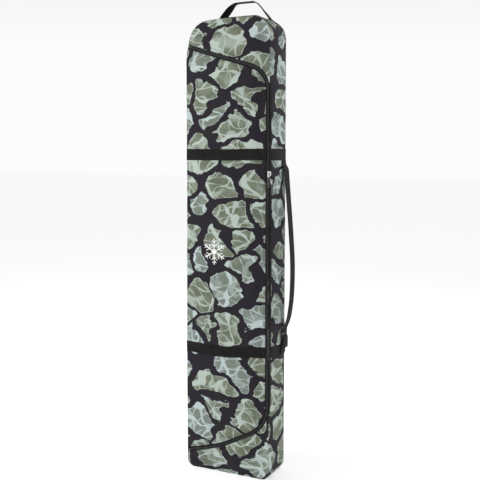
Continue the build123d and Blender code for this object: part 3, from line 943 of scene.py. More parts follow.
def camo_fabric():
    """The printed shell fabric: olive and sage patches on a violet charcoal ground."""
    sheen = {"Sheen_Weight": 0.04, "Sheen_Roughness": 0.5}
    shader = Shader("camo_fabric", OLIVE, 0.85, Specular_IOR_Level=0.16, **sheen)
    flat = shader.flat()
    place = shader.scaled(flat, (7.6, 9.8, 1.0))
    depth, parts, warped = camo_patches(shader, place)
    green = parts.node.outputs[1]
    blue = parts.node.outputs[2]
    streaks = camo_streaks(shader, place, parts)
    rim = shader.between(depth, 0.008, 0.050, 0.85, 0.0)
    broken = shader.between(shader.noise(place, 3.6, 2.0), 0.38, 0.58, 0.10, 1.0)
    blotch = shader.between(shader.noise(warped, 2.2, 2.0), 0.50, 0.70, 0.0, 0.8)
    pale = shader.math("MAXIMUM", streaks, shader.math("MULTIPLY", rim, broken))
    pale = shader.math("MAXIMUM", pale, shader.math("MULTIPLY", blotch, blue))
    shade = shader.between(shader.noise(warped, 2.6, 3.0), 0.30, 0.70)
    body = shader.mixed(shade, OLIVE_DEEP, OLIVE)
    body = shader.mixed(shader.between(green, 0.40, 0.9, 0.0, 0.7), body, SLATE)
    light = shader.mixed(shader.between(green, 0.2, 0.9), SAGE, MIST)
    patch = shader.mixed(shader.math("MULTIPLY", pale, 0.90), body, light)
    ground = shader.mixed(shader.between(shader.noise(place, 1.6, 3.0), 0.35, 0.7), GROUND, GROUND_WARM)
    printed = shader.mixed(shader.between(depth, 0.0, 0.010), ground, patch)
    weave = shader.threads(flat, 0.0011, 0.0011)
    yarn = shader.noise(flat, 900.0, 2.0)
    tone = shader.between(shader.math("ADD", weave, yarn), 0.3, 1.6, 0.90, 1.06)
    toned = shader.node("ShaderNodeVectorMath", 0, {0: printed, "Scale": tone}, operation="SCALE")
    shader.set("Base Color", toned)
    crinkle = shader.bump(shader.noise(flat, 90.0, 3.0), 0.0006, 0.5)
    shader.set("Normal", shader.bump(weave, 0.00012, 0.8, crinkle))
    return shader.material


def woven(name, colour, light, pitch, roughness=0.68):
    """A narrow woven tape: ribs along its length, with threads over and under."""
    shader = Shader(name, colour, roughness, Specular_IOR_Level=0.10, Sheen_Weight=0.02)
    flat = shader.flat()
    weave = shader.threads(flat, pitch, 1.6 * pitch)
    fuzz = shader.noise(flat, 700.0, 3.0)
    worn = shader.noise(flat, 38.0, 2.0)
    wear = shader.between(worn, 0.2, 0.8, 0.3, 0.6)
    mix = shader.math("MULTIPLY", shader.math("ADD", weave, fuzz), wear)
    shader.set("Base Color", shader.mixed(mix, colour, light))
    shader.set("Normal", shader.bump(shader.math("MULTIPLY_ADD", fuzz, 0.3, weave), 0.35 * pitch, 0.8))
    return shader.material


def lining_fabric():
    """Plain charcoal lining with a fine square weave and a soft crinkle."""
    dark, light = (0.036, 0.036, 0.041), (0.066, 0.066, 0.072)
    shader = Shader("lining_fabric", dark, 0.62, Specular_IOR_Level=0.35, Sheen_Weight=0.15)
    flat = shader.flat()
    weave = shader.threads(flat, 0.0010, 0.0010)
    crinkle = shader.noise(flat, 28.0, 4.0, distortion=0.6)
    shader.set("Base Color", shader.mixed(shader.math("MULTIPLY", weave, crinkle), dark, light))
    shader.set("Normal", shader.bump(weave, 0.0001, 0.7, shader.bump(crinkle, 0.0016, 0.6)))
    return shader.material


def foam_material():
    """Pale grey closed-cell foam."""
    shader = Shader("foam", (0.42, 0.42, 0.43), 0.9)
    flat = shader.flat()
    pores = shader.cells(flat, 900.0, "F1", "Distance")
    shader.set("Base Color", shader.mixed(pores, (0.36, 0.36, 0.37), (0.50, 0.50, 0.51)))
    shader.set("Normal", shader.bump(pores, 0.0004, 0.6))
    return shader.material


def coil_material():
    """Dark satin nylon of the zip's coil."""
    shader = Shader("zip_coil", (0.030, 0.029, 0.030), 0.42, Specular_IOR_Level=0.5)
    rub = shader.noise(shader.object_space(), 260.0, 3.0)
    shader.set("Base Color", shader.mixed(rub, (0.022, 0.021, 0.022), (0.050, 0.048, 0.048)))
    shader.set("Roughness", shader.between(rub, 0.2, 0.8, 0.34, 0.55))
    return shader.material


def slider_metal():
    """Brushed nickel with rubbed edges."""
    shader = Shader("slider_metal", (0.62, 0.62, 0.61), 0.3, Metallic=1.0)
    place = shader.object_space()
    grain = shader.noise(shader.scaled(place, (900.0, 900.0, 4500.0)), 1.0, 3.0)
    tarnish = shader.noise(place, 420.0, 3.0)
    shader.set("Base Color", shader.mixed(tarnish, (0.50, 0.50, 0.49), (0.72, 0.72, 0.71)))
    shader.set("Roughness", shader.between(tarnish, 0.25, 0.75, 0.22, 0.42))
    shader.set("Normal", shader.bump(grain, 0.00003, 0.6))
    return shader.material


def moulded(name, colour, light, roughness):
    """Moulded plastic or rubber with a fine spark texture and slight scuffs."""
    shader = Shader(name, colour, roughness, Specular_IOR_Level=0.45)
    place = shader.object_space()
    grain = shader.noise(place, 2600.0, 2.0, dimensions="3D")
    scuff = shader.noise(place, 140.0, 4.0, dimensions="3D")
    shader.set("Base Color", shader.mixed(shader.between(scuff, 0.4, 0.8), colour, light))
    shader.set("Roughness", shader.between(scuff, 0.3, 0.8, roughness - 0.06, roughness + 0.12))
    shader.set("Normal", shader.bump(grain, 0.00008, 0.6))
    return shader.material


def print_ink():
    """White plastisol print that shows the weave beneath it."""
    shader = Shader("white_print", (0.86, 0.86, 0.86), 0.55, Specular_IOR_Level=0.4)
    flat = shader.flat()
    weave = shader.threads(flat, 0.0011, 0.0011)
    wear = shader.noise(flat, 160.0, 4.0)
    worn = shader.between(wear, 0.62, 0.74)
    shader.set("Base Color", shader.mixed(worn, (0.88, 0.88, 0.88), (0.60, 0.61, 0.62)))
    shader.set("Normal", shader.bump(weave, 0.00008, 0.6))
    return shader.material


def floor_material():
    """A pale studio floor with a trace of unevenness."""
    shader = Shader("floor", (0.86, 0.86, 0.86), 0.7, Emission_Strength=0.45)
    shader.surface.inputs["Emission Color"].default_value = (1, 1, 1, 1)
    uneven = shader.noise(shader.object_space(), 1.5, 3.0)
    shader.set("Base Color", shader.mixed(uneven, (0.85, 0.85, 0.85), (0.88, 0.88, 0.88)))
    return shader.material


camo = camo_fabric()
webbing = woven("webbing", (0.0045, 0.0045, 0.0045), (0.0180, 0.0172, 0.0162), 0.0017)
tape = woven("zip_tape", (0.0040, 0.0040, 0.0045), (0.0160, 0.0155, 0.0155), 0.0009)
thread = woven("thread", (0.014, 0.014, 0.015), (0.050, 0.050, 0.052), 0.0006, 0.5)
lining = lining_fabric()
foam = foam_material()
coil = coil_material()
metal = slider_metal()
rubber = moulded("pull_rubber", (0.030, 0.026, 0.024), (0.060, 0.054, 0.050), 0.55)
plastic = moulded("buckle_plastic", (0.018, 0.018, 0.019), (0.045, 0.045, 0.047), 0.42)
ink = print_ink()


def finish_piece(piece, slot, body, *nodes, fill=None):
    """Parent a piece to the empty of the body it rides on and hide the nodes it stands for. Its slot is not
    used.

    A piece on flap_fold only has its place baked into its mesh and is parented to no body."""
    if body == "flap_fold":
        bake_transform(piece)
    else:
        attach(piece, body)
    if nodes:
        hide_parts(*nodes)
    return piece


# Lines that pieces are cut to

def zip_offset(distance, x_start):
    """The zip's line moved away from the flap by distance, from x_start on."""
    moved = ZIP_LINE + distance * right_of(ZIP_LINE)
    return moved[moved[:, 0] > x_start]


def outline_stretch(first, last, inset):
    """Outline points from distance first to last, moved inward."""
    runs = np.arange(first, last, 0.004)
    points = outline_point(np.append(runs, last))
    return points - inset * right_of(points)


def flap_loop(distance, x_start):
    """The flap's edge, drawn in by distance from the zip's line and kept right of x_start."""
    line = zip_offset(-distance, x_start)
    start = [x_start, np.interp(x_start, line[:30, 0], line[:30, 1])]
    end = [x_start, np.interp(x_start, line[:-30:-1, 0], line[:-30:-1, 1])]
    return np.vstack([[start], line, [end]])


def fixed_loop(top, distance, inset):
    """The edge of the fixed front panel above or below the zip, clear of the zip's line by distance."""
    line = zip_offset(distance, LEFT + inset)
    line = line[line[:, 0] < RIGHT - max(inset, SHELL)]
    seam = 0.002
    if top:
        line = line[line[:, 1] > HEIGHT / 2][::-1]
        first, last = outline_run(RIGHT, line[-1, 1]) + seam, outline_run(LEFT, line[0, 1])
    else:
        line = line[line[:, 1] < HEIGHT / 2][::-1]
        first, last = outline_run(LEFT, line[-1, 1]), OUTLINE + outline_run(RIGHT, line[0, 1]) - seam
    return np.vstack([line, outline_stretch(first, last, inset)])


# Walls

WALL_PRINT = 0.31  # shifts the print on the side walls against the print on the front
HEM = 0.0006


def wall_sheet(name, first, last, lift, thickness, y_range, material, wrapped=0.0):
    """A sheet of the wall between front and back, from distance first to last round the outline.

    With wrapped, the sheet rises by that much to meet the shell at its front edge."""
    rows = np.linspace(first, last, max(3, int((last - first) / 0.0065)))
    depths = even_depths(*y_range)
    s, y = np.meshgrid(rows, depths, indexing="ij")
    distance = np.minimum(y - y_range[0], y_range[1] - y)
    distance = np.minimum(distance, np.minimum(s - first, last - s) + 1e-9)
    drop = edge_drop(np.maximum(distance, 0), thickness)
    lift = lift + wrapped * (1 - ease(0.0, 0.0085, y - y_range[0]))
    outer, _ = lifted(wall_surface, s, y, lift - drop)
    inner, _ = lifted(wall_surface, s, y, lift - thickness - 0.4 * drop)
    outer[..., 2] = np.maximum(outer[..., 2], 0.0)
    inner[..., 2] = np.maximum(inner[..., 2], 0.0002)
    flat = np.stack([y + WALL_PRINT, s, 0 * s], -1)
    return sheet_piece(name, outer, inner, flat, material)


def even_depths(low, high):
    """Depth stations that crowd together at the two seams."""
    close = np.array([0.0, 0.0003, EDGE_ROUND, 0.002, 0.0036, 0.0058, 0.0085])
    middle = np.linspace(low + 0.013, high - 0.013, 20)
    return np.concatenate([low + close, middle, high - close[::-1]])


def wall_layers(name, kind, first, last, fill):
    """The shell, foam and lining of one stretch of the wall between front and back."""
    cover_name = f"{name}_gusset_cover" if kind == "gusset" else f"{name}_cover"
    cover = wall_sheet(cover_name, first, last, 0, SHELL, (FRONT + SEAM_INSET, BACK - SEAM_INSET), camo)
    finish_piece(cover, "camo_fabric", "bag", f"{name}_{kind}", fill=fill)
    depths = (FRONT + PAD_INSET, BACK - SHELL - FOAM - 0.004)
    pad = wall_sheet(f"{name}_foam_pad", first, last, PAD_LIFT, PAD, depths, foam)
    finish_piece(pad, "foam", "bag", f"{name}_foam", fill=PAD_FILL)
    depths = (FRONT + 0.0060, BACK - SHELL - 0.0035)
    sheet = wall_sheet(f"{name}_lining_sheet", first, last, LINING_LIFT, LINING, depths, lining, FOAM)
    finish_piece(sheet, "lining_fabric", "bag", f"{name}_lining")


def make_walls():
    """Shell, foam and lining of the sides, the top and the base."""
    wall_layers("right", "gusset", SIDE_START, SIDE_END, COVER_FILL)
    wall_layers("top", "gusset", SIDE_END, OUTLINE - SIDE_END, COVER_FILL)
    wall_layers("left", "gusset", OUTLINE - SIDE_END, OUTLINE - SIDE_START, COVER_FILL)
    wall_layers("base", "panel", OUTLINE - SIDE_START, OUTLINE + SIDE_START, BASE_FILL)


def flat_layers(name, loops, surface, body, origin, spacing, wrapped=FOAM):
    """The shell, foam and lining of a flat-cut wall, each cut to its own loop."""
    cover = cut_piece(f"{name}_cover", loops[0], surface, camo, 0, SHELL, spacing, HEM, origin)
    finish_piece(cover, "camo_fabric", body, f"{name}_panel", fill=COVER_FILL)
    pad = cut_piece(f"{name}_foam_pad", loops[1], surface, foam, PAD_LIFT, PAD, 0.012, 0, origin)
    finish_piece(pad, "foam", body, f"{name}_foam", fill=PAD_FILL)
    sheet = cut_piece(f"{name}_lining_sheet", loops[2], surface, lining, LINING_LIFT, LINING, 0.007, 0, origin,
                      wrapped)
    finish_piece(sheet, "lining_fabric", body, f"{name}_lining")


def make_flat_walls():
    """The back, the flap and the two fixed front panels."""
    insets = (SEAM_INSET, SHELL + FOAM, SHELL + 0.0014)
    loops = [outline_stretch(0, OUTLINE - 0.004, inset) for inset in insets]
    flat_layers("back", loops, back_surface, "bag", (0.9, 0.0, 0), 0.0075, wrapped=0.0)
    loops = [flap_loop(TAPE_REACH, HINGE_START), flap_loop(PAD_INSET, LEFT + HINGE_FOLD + 0.0012),
             flap_loop(TAPE_REACH + 0.0004, LEFT + 0.0012)]
    flat_layers("flap", loops, front_surface, "flap_fold", (0, 0, 0), 0.006)
    inset = SHELL + 0.0003
    origins = {"front_top": (0.05, 0.021, 0), "front_bottom": (-0.03, -0.013, 0)}
    for name, origin in origins.items():
        top = name == "front_top"
        loops = [fixed_loop(top, TAPE_REACH, SEAM_INSET), fixed_loop(top, PAD_INSET, inset),
                 fixed_loop(top, TAPE_REACH + 0.0004, inset)]
        flat_layers(name, loops, front_surface, "bag", origin, 0.006)


# Zip

TAPE_LIFT = -0.0006
COIL_LIFT = 0.0002
STOP_LIFT = 0.0004


def strip_grid(distances, x_start):
    """Points of a strip that follows the zip's line, one row per station and one column per distance."""
    keep = ZIP_LINE[:, 0] > x_start
    line, side = ZIP_LINE[keep], right_of(ZIP_LINE)[keep]
    return line[:, None] + np.asarray(distances)[None, :, None] * side[:, None]


def tape_piece(name, distances):
    """Half of the zip's tape, sunk a little below the face of the shell."""
    grid = strip_grid(distances, TAPE_START)
    outer, _ = lifted(front_surface, grid[..., 0], grid[..., 1], TAPE_LIFT)
    inner, _ = lifted(front_surface, grid[..., 0], grid[..., 1], TAPE_LIFT - TAPE_THICKNESS)
    run = np.arange(len(grid))[:, None] * ZIP_STEP + 0 * grid[..., 0]
    flat = np.stack([run, np.asarray(distances)[None] + 0 * run, 0 * run], -1)
    return sheet_piece(name, outer, inner, flat, tape)


def coil_piece(name, tip, root, phase):
    """Half of the zip's coil: a row of rounded turns, each from its locking tip to its root."""
    line = evenly(ZIP_LINE, COIL_PITCH)
    side = right_of(line)
    line = line + unit(np.gradient(line, axis=0)) * phase * COIL_PITCH
    keep = line[:, 0] > COIL_START
    line, side = line[keep], side[keep]
    middles = line + side * (tip + root) / 2
    roots = line + side * root
    places, outward = lifted(front_surface, middles[:, 0], middles[:, 1], COIL_LIFT)
    ends, _ = lifted(front_surface, roots[:, 0], roots[:, 1], COIL_LIFT)
    across = unit(ends - places)
    slant = math.copysign(0.22, root)
    slanted = unit(across + slant * np.cross(outward, across))
    axes = np.stack([slanted, np.cross(outward, slanted), outward], 1)
    template, faces = bead_template(abs(root - tip), COIL_RADIUS)
    template[:, 2] *= 1.15
    return stamped(name, template, faces, places, axes, coil)


def make_zip():
    """Tapes, coils, the tape that wraps onto the right side, and end stops."""
    flap_side = tape_piece("flap_tape", [-0.0076, -0.0068, -0.005, -0.0030, -0.0024])
    finish_piece(flap_side, "zip_tape", "flap_fold", "flap_zip_tape")
    frame_side = tape_piece("frame_tape", [0.0018, 0.0036, 0.0052, 0.0066, 0.0072])
    finish_piece(frame_side, "zip_tape", "bag", "frame_zip_tape")
    flap_coil = coil_piece("flap_coil", 0.0009, -0.0029, 0.0)
    finish_piece(flap_coil, "zip_coil", "flap", "flap_zip_coil")
    frame_coil = coil_piece("frame_coil", 0.0003, 0.0043, 0.5)
    finish_piece(frame_coil, "zip_coil", "bag", "frame_zip_coil")
    make_side_tape()
    make_stops()


def make_side_tape():
    """The frame's tape where it folds round the corner and is sewn to the right gusset."""
    low_end, high_end = 0.242, 1.386
    narrow, wide = 0.0078, 0.0150
    s = np.arange(outline_run(RIGHT, low_end), outline_run(RIGHT, high_end), 0.005)
    z = outline_point(s)[:, 1]
    width = narrow + (wide - narrow) * (1 - ease(1.06, 1.376, z)) * ease(0.235, 0.32, z)
    share = np.array([0.0, 0.03, 0.1, 0.3, 0.6, 0.9, 0.97, 1.0])
    lift = np.array([0.2, 0.7, 1.0, 1.0, 1.0, 1.0, 0.7, 0.3]) * TAPE_THICKNESS
    sewn = 5
    y = FRONT - 0.0002 + share[None] * width[:, None]
    s_grid = np.broadcast_to(s[:, None], y.shape)
    outer, outward = lifted(wall_surface, s_grid, y, lift)
    inner, _ = lifted(wall_surface, s_grid, y, lift - 0.0012)
    flat = np.stack([s_grid, y, 0 * y], -1)
    piece = sheet_piece("side_tape", outer, inner, flat, tape)
    finish_piece(piece, "zip_tape", "bag")
    lines = [(outer[:, sewn] + outward[:, sewn] * THREAD_LIFT, outward[:, sewn])]
    sew("side_tape_stitches", lines, "zip_tape", "bag")


def make_stops():
    """Metal stops clinched over the two ends of the frame's coil."""
    line = strip_grid([0.0028], LEFT + 0.004)[:, 0]
    ends, inner = line[[0, -1]], line[[1, -2]]
    places, outward = lifted(front_surface, ends[:, 0], ends[:, 1], STOP_LIFT)
    onward, _ = lifted(front_surface, inner[:, 0], inner[:, 1], STOP_LIFT)
    along = unit(onward - places)
    axes = np.stack([np.cross(outward, along), along, outward], 1)
    template, faces = bead_template(0.0046, 0.0017)
    piece = stamped("zip_end_stops", template, faces, places, axes, metal)
    finish_piece(piece, "slider_metal", "bag", "zip_stops")


# Bands

def band_rise(name, x, y):
    """How far a band leaves its level line as it goes round the bag."""
    skew = BAND_SKEW[name]
    over_front = skew * ease(-0.05, RIGHT, x) - 0.45 * skew * np.exp(-(x / 0.07) ** 2)
    return over_front * (1 - ease(FRONT, BACK, y))


def band_offsets():
    """Heights across a band and how far each row stands out, with rolled edges."""
    across = np.array([-1.0, -0.985, -0.95, -0.9, -0.6, -0.2, 0.2, 0.6, 0.9, 0.95, 0.985, 1.0])
    out = np.array([0.1, 0.75, 1.05, 1.0, 0.95, 0.93, 0.93, 0.95, 1.0, 1.05, 0.75, 0.1])
    return across * BAND / 2, out * BAND_THICKNESS


def edge_stitches(outer, outward):
    """A line of stitches along each edge of a band."""
    return [(outer[:, k] + THREAD_LIFT * outward[:, k], outward[:, k]) for k in (3, 8)]


def end_stitches(outer, outward, row):
    """A line of stitches across a band."""
    return outer[row, 2:-2] + THREAD_LIFT * outward[row, 2:-2], outward[row, 2:-2]


def front_band(name, height):
    """The part of a band that lies on the flap."""
    across, out = band_offsets()
    xs = np.linspace(HINGE_START, ZIP_X - TAPE_REACH + 0.0004, 90)
    x = np.broadcast_to(xs[:, None], (len(xs), len(across)))
    z = height + band_rise(name, x, FRONT) + across[None]
    outer, outward = lifted(front_surface, x, z, out)
    inner, _ = lifted(front_surface, x, z, -BAND_SUNK)
    flat = np.stack([x, across[None] + 0 * x, 0 * x], -1)
    piece = sheet_piece(f"flap_{name}_webbing", outer, inner, flat, webbing)
    finish_piece(piece, "webbing", "flap_fold", f"flap_{name}_band")
    lines = edge_stitches(outer, outward) + [end_stitches(outer, outward, -3)]
    sew(f"flap_{name}_webbing_stitches", lines, "webbing", "flap_fold")


def around_points(name, height):
    """The band's path round the left side, the back and the right side: points and outward directions."""
    across, out = band_offsets()
    middle = outline_run(RIGHT, height)
    stations = []
    for y in np.linspace(FRONT + 0.0022, BACK - 0.002, 26):
        level = across + band_rise(name, LEFT, y)
        stations.append(lifted(wall_surface, OUTLINE - middle - level, y, out))
    for x in np.linspace(LEFT + 0.003, RIGHT - 0.003, 60):
        level = across + band_rise(name, x, BACK)
        stations.append(lifted(back_surface, x, height + level, out))
    for y in np.linspace(BACK - 0.002, FRONT + 0.0145, 26):
        level = across + band_rise(name, RIGHT, y)
        stations.append(lifted(wall_surface, middle + level, y, out))
    points = np.stack([place for place, _ in stations])
    outward = np.stack([direction for _, direction in stations])
    return points, smooth_rows(outward)


def smooth_rows(vectors):
    """Directions averaged with their neighbours along the first axis."""
    for _ in range(2):
        ends = np.concatenate([vectors[:1], vectors, vectors[-1:]], 0)
        vectors = unit(ends[:-2] + 2 * ends[1:-1] + ends[2:])
    return vectors


def body_band(name, height):
    """The part of a band that goes round the sides and the back."""
    points, outward = around_points(name, height)
    inner = points - outward * (BAND_THICKNESS + BAND_SUNK)
    across, _ = band_offsets()
    run = run_along(points[:, 5])[:, None] + 0 * points[..., 0]
    flat = np.stack([run, across[None] + 0 * run, 0 * run], -1)
    piece = sheet_piece(f"{name}_webbing", points, inner, flat, webbing)
    finish_piece(piece, "webbing", "bag", f"{name}_band")
    lines = edge_stitches(points, outward)
    lines += [end_stitches(points, outward, 1), end_stitches(points, outward, -2)]
    sew(f"{name}_webbing_stitches", lines, "webbing", "bag")


def make_bands():
    """Both bands, on the flap and on the body."""
    for name, height in BAND_HEIGHTS.items():
        front_band(name, height)
        body_band(name, height)


# Sewing

def front_line(points):
    """A line of thread on the front, with its outward directions."""
    return lifted(front_surface, points[:, 0], points[:, 1], 0.0007)


def make_stitching():
    """Topstitching beside the zip and along the seams."""
    start = LEFT + 0.006
    lines = [front_line(zip_offset(-TAPE_REACH - gap, start)) for gap in (0.0022, 0.0070)]
    sew("flap_topstitching", lines, "camo_fabric", "flap_fold")
    lines = []
    for gap in (0.0022, 0.0105):
        line = zip_offset(TAPE_REACH + gap, start)
        line = line[line[:, 0] < RIGHT - 0.004]
        high = line[:, 1] > HEIGHT / 2
        lines += [front_line(line[high]), front_line(line[~high])]
    sew("frame_topstitching", lines, "camo_fabric", "bag")
    behind = np.arange(0.20, OUTLINE - 0.20, 0.006)
    before = np.arange(SIDE_END - 0.09, OUTLINE - SIDE_END + 0.03, 0.006)
    lines = [lifted(wall_surface, behind, BACK - SEAM_THREAD, 0.0001),
             lifted(wall_surface, before, FRONT + SEAM_THREAD, 0.0001)]
    sew("seam_topstitching", lines, "camo_fabric", "bag")


# Print

def snowflake_loops():
    """The hub and the arms of a plain six-armed snowflake as separate flat shapes."""
    hub, arm = 0.011, 0.047
    corners = np.radians(60 * np.arange(6))
    loops = [hub * np.column_stack([np.cos(corners), np.sin(corners)])]
    for index in range(6):
        angle = math.radians(90 + 60 * index)
        loops.append(bar((0.0095, 0.0), angle, 0.0, arm - 0.0095, 0.005))
        for reach, length in ((0.42, 0.017), (0.70, 0.012)):
            for turn in (52, -52):
                loops.append(bar((reach * arm, 0.0), angle, math.radians(turn), length, 0.004))
    return loops


def bar(start, angle, turn, length, stroke):
    """A thin bar with a rounded end, from a start on an arm, turned off it."""
    half = stroke / 2
    end = [(length - half + half * math.cos(a), half * math.sin(a)) for a in np.linspace(-1.5, 1.5, 7)]
    points = np.array([(0.0, -half)] + end + [(0.0, half)])
    points = points @ spin(turn).T + np.array(start)
    return points @ spin(angle).T


def make_emblem():
    """The white print, laid over the flap's bulge. Bars that cross lie a hair apart."""
    low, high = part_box("flap_emblem")
    centre = np.array([(low.x + high.x) / 2, (low.z + high.z) / 2])
    arms = []
    for index, loop in enumerate(snowflake_loops()):
        lift = 0.0004 + 0.00001 * (index % 5)
        arms.append(cut_piece(f"arm_{index}", loop + centre, front_surface, ink, lift, 0.0009, 0.0022))
    piece = joined("flap_print", arms)
    finish_piece(piece, "white_print", "flap", "flap_emblem")


def joined(name, pieces):
    """Several pieces as one object."""
    with bpy.context.temp_override(active_object=pieces[0], selected_editable_objects=pieces):
        bpy.ops.object.join()
    pieces[0].name = name
    pieces[0].data.name = name
    return pieces[0]


def swing_from_bag(piece, node):
    """Bake a piece of webbing in place and hide the node it stands for."""
    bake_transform(piece)
    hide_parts(node)


# Haul handle

def handle_frames():
    """The handle's centre line with its width and face directions."""
    foot = np.array([outline_run(HANDLE_LEFT, HEIGHT)])
    base_z = wall_surface(foot, np.array([HANDLE_Y]))[0, 2]
    path = [(HANDLE_LEFT - 0.0005, base_z + 0.002), (-0.0785, base_z + 0.0085), (-0.0650, base_z + 0.0235),
            (-0.0430, 1.6625), (-0.0255, 1.6772), (-0.0080, 1.6806), (0.0400, 1.6808), (0.0560, 1.6796),
            (0.0710, 1.6685), (0.0940, 1.6420), (0.1085, 1.6245), (0.1165, 1.6150)]
    line = smooth_curve(path, 0.003)
    centres = np.column_stack([line[:, 0], np.full(len(line), HANDLE_Y), line[:, 1]])
    along = unit(np.gradient(centres, axis=0))
    share = np.linspace(0, 1, len(line))
    left_leg = ease(0.0, 0.08, share) * (1 - ease(0.16, 0.36, share))
    right_leg = np.exp(-((share - 0.78) / 0.10) ** 2)
    twist = -HANDLE_LEFT_TWIST * left_leg - HANDLE_RIGHT_TWIST * right_leg
    side = np.tile(BACKWARD, (len(line), 1))
    out = unit(np.cross(along, side))
    turned_side = side * np.cos(twist)[:, None] + out * np.sin(twist)[:, None]
    turned_out = unit(np.cross(along, turned_side))
    return centres, turned_side, turned_out


def make_handle():
    """The loop in two halves, which bend over from their sewn ends, and the ends themselves."""
    centres, sides, outs = handle_frames()
    half = len(centres) // 2
    halves = {"left": (slice(0, half + 1), centres[0]), "right": (slice(half, None), centres[-1])}
    for name, (part, base) in halves.items():
        loop = webbing_piece(f"haul_loop_{name}", centres[part], sides[part], outs[part], HANDLE_WIDTH,
                             HANDLE_THICKNESS)
        swing_from_bag(loop, "haul_handle")
    left = outline_run(HANDLE_LEFT + 0.012, HEIGHT)
    right = TOP_START - TOP_RADIUS * math.radians(16)
    handle_end("left", left, left + 0.028)
    handle_end("right", right - 0.032, right + 0.006)


def handle_end(name, first, last):
    """A sewn end of the handle, flat on the top between two outline distances."""
    across = HANDLE_Y + np.linspace(-1, 1, 9) * HANDLE_WIDTH / 2
    s, y = np.meshgrid(np.linspace(first, last, 16), across, indexing="ij")
    rim = np.minimum(np.minimum(s - first, last - s), HANDLE_WIDTH / 2 - np.abs(y - HANDLE_Y))
    lift = 0.0004 + 0.0018 * ease(-0.0006, 0.0012, rim)
    outer, outward = lifted(wall_surface, s, y, lift)
    inner, _ = lifted(wall_surface, s, y, -0.0006)
    end = sheet_piece(f"haul_{name}_end", outer, inner, np.stack([s, y, 0 * s], -1), webbing)
    finish_piece(end, "webbing", "bag", f"handle_{name}_end")
    sew(f"haul_{name}_end_stitches", box_stitch(outer, outward), "webbing", "bag")


def box_stitch(outer, outward):
    """A square of stitches with a cross in it."""
    rows, columns = outer.shape[:2]
    raised = outer + 0.0003 * outward
    low, high, near, far = 2, rows - 3, 1, columns - 2
    up, across = slice(low, high + 1), slice(near, far + 1)
    steps = np.arange(far - near + 1)
    climb = np.round(np.linspace(low, high, len(steps))).astype(int)
    spots = [(up, near), (up, far), (low, across), (high, across)]
    spots += [(climb, near + steps), (climb, far - steps)]
    return [(raised[spot], outward[spot]) for spot in spots]


# Carrying strap

def strap_frames(path, step):
    """Centres and directions of webbing along a path of (distance out from the right side, height)."""
    line = smooth_curve(path, step)
    centres = np.column_stack([RIGHT + line[:, 0], np.full(len(line), STRAP_Y), line[:, 1]])
    along = unit(np.gradient(centres, axis=0))
    side = np.tile(BACKWARD, (len(line), 1))
    out = unit(np.cross(side, along))
    return centres, side, out


def bartack(name, centre, side, out):
    """A dense bar of stitches across upright webbing."""
    template, faces = bead_template(0.0034, 0.0005)
    count = int(BARTACK_WIDTH / 0.0009)
    spots = centre + np.linspace(-0.5, 0.5, count)[:, None] * BARTACK_WIDTH * side + out * 0.0014
    wobble = np.where(np.arange(count) % 2, 0.25, -0.25)[:, None]
    lean = unit(UP + wobble * side)
    outs = np.tile(out, (count, 1))
    axes = np.stack([lean, np.cross(outs, lean), outs], 1)
    piece = stamped(name, template, faces, spots, axes, thread)
    finish_piece(piece, "webbing", "bag")


def sewn_strip(name, path, step, thickness, node):
    """Webbing that stays on the bag, and its centres and directions."""
    centres, side, out = strap_frames(path, step)
    piece = webbing_piece(name, centres, side, out, STRAP_WIDTH, thickness)
    finish_piece(piece, "webbing", "bag", node)
    return centres, side, out


def make_bow():
    """The bowed strap in two halves, which bend out from their ends."""
    bow = [(0.0152, 1.0918), (0.0185, 1.051), (0.0240, 0.986), (0.0300, 0.918), (0.0350, 0.851),
           (0.0388, 0.793), (0.0403, 0.739), (0.0393, 0.686), (0.0365, 0.636), (0.0315, 0.597),
           (0.0262, 0.568), (0.0163, 0.5406)]
    centres, side, out = strap_frames(bow, 0.004)
    half = len(centres) // 2
    halves = {"upper": (slice(0, half + 1), 1.090, 0.946), "lower": (slice(half, None), 0.5425, 0.666)}
    for name, (part, start, end) in halves.items():
        piece = webbing_piece(f"carry_webbing_{name}", centres[part], side[part], out[part], STRAP_WIDTH,
                              STRAP_THICKNESS)
        swing_from_bag(piece, "shoulder_strap")


def make_strap():
    """The bowed strap, its sewn top end, the end that threads the buckle, and the buckle's tab."""
    make_bow()
    top = [(0.0030, 1.132), (0.0032, 1.125), (0.0046, 1.116), (0.0098, 1.107), (0.0140, 1.100),
           (0.0152, 1.0913)]
    centres, side, out = sewn_strip("strap_top_webbing", top, 0.002, STRAP_THICKNESS, "strap_top_end")
    bartack("strap_top_bartack", centres[1], side[1], out[1])
    lower = [(0.0160, 0.5409), (0.0130, 0.5320), (0.0116, 0.5275), (0.0114, 0.5225), (0.0085, 0.5185),
             (0.0056, 0.5145), (0.0054, 0.5095), (0.0085, 0.5055), (0.0138, 0.5015), (0.0148, 0.4960),
             (0.0150, 0.4780), (0.0146, 0.4610)]
    sewn_strip("strap_lower_webbing", lower, 0.0015, 0.0018, "strap_lower_end")
    tab = [(0.0032, 0.442), (0.0033, 0.474), (0.0052, 0.4815), (0.0056, 0.4880), (0.0064, 0.4922),
           (0.0085, 0.4934), (0.0107, 0.4920), (0.0113, 0.4880), (0.0108, 0.4828), (0.0056, 0.4740),
           (0.0050, 0.4660), (0.0050, 0.442)]
    sewn_strip("strap_tab_webbing", tab, 0.0015, 0.0016, "strap_tab")
    bartack("strap_tab_bartack", np.array([RIGHT + 0.0050, STRAP_Y, 0.4545]), BACKWARD, RIGHTWARD)


# Hard parts that keep their CAD shape

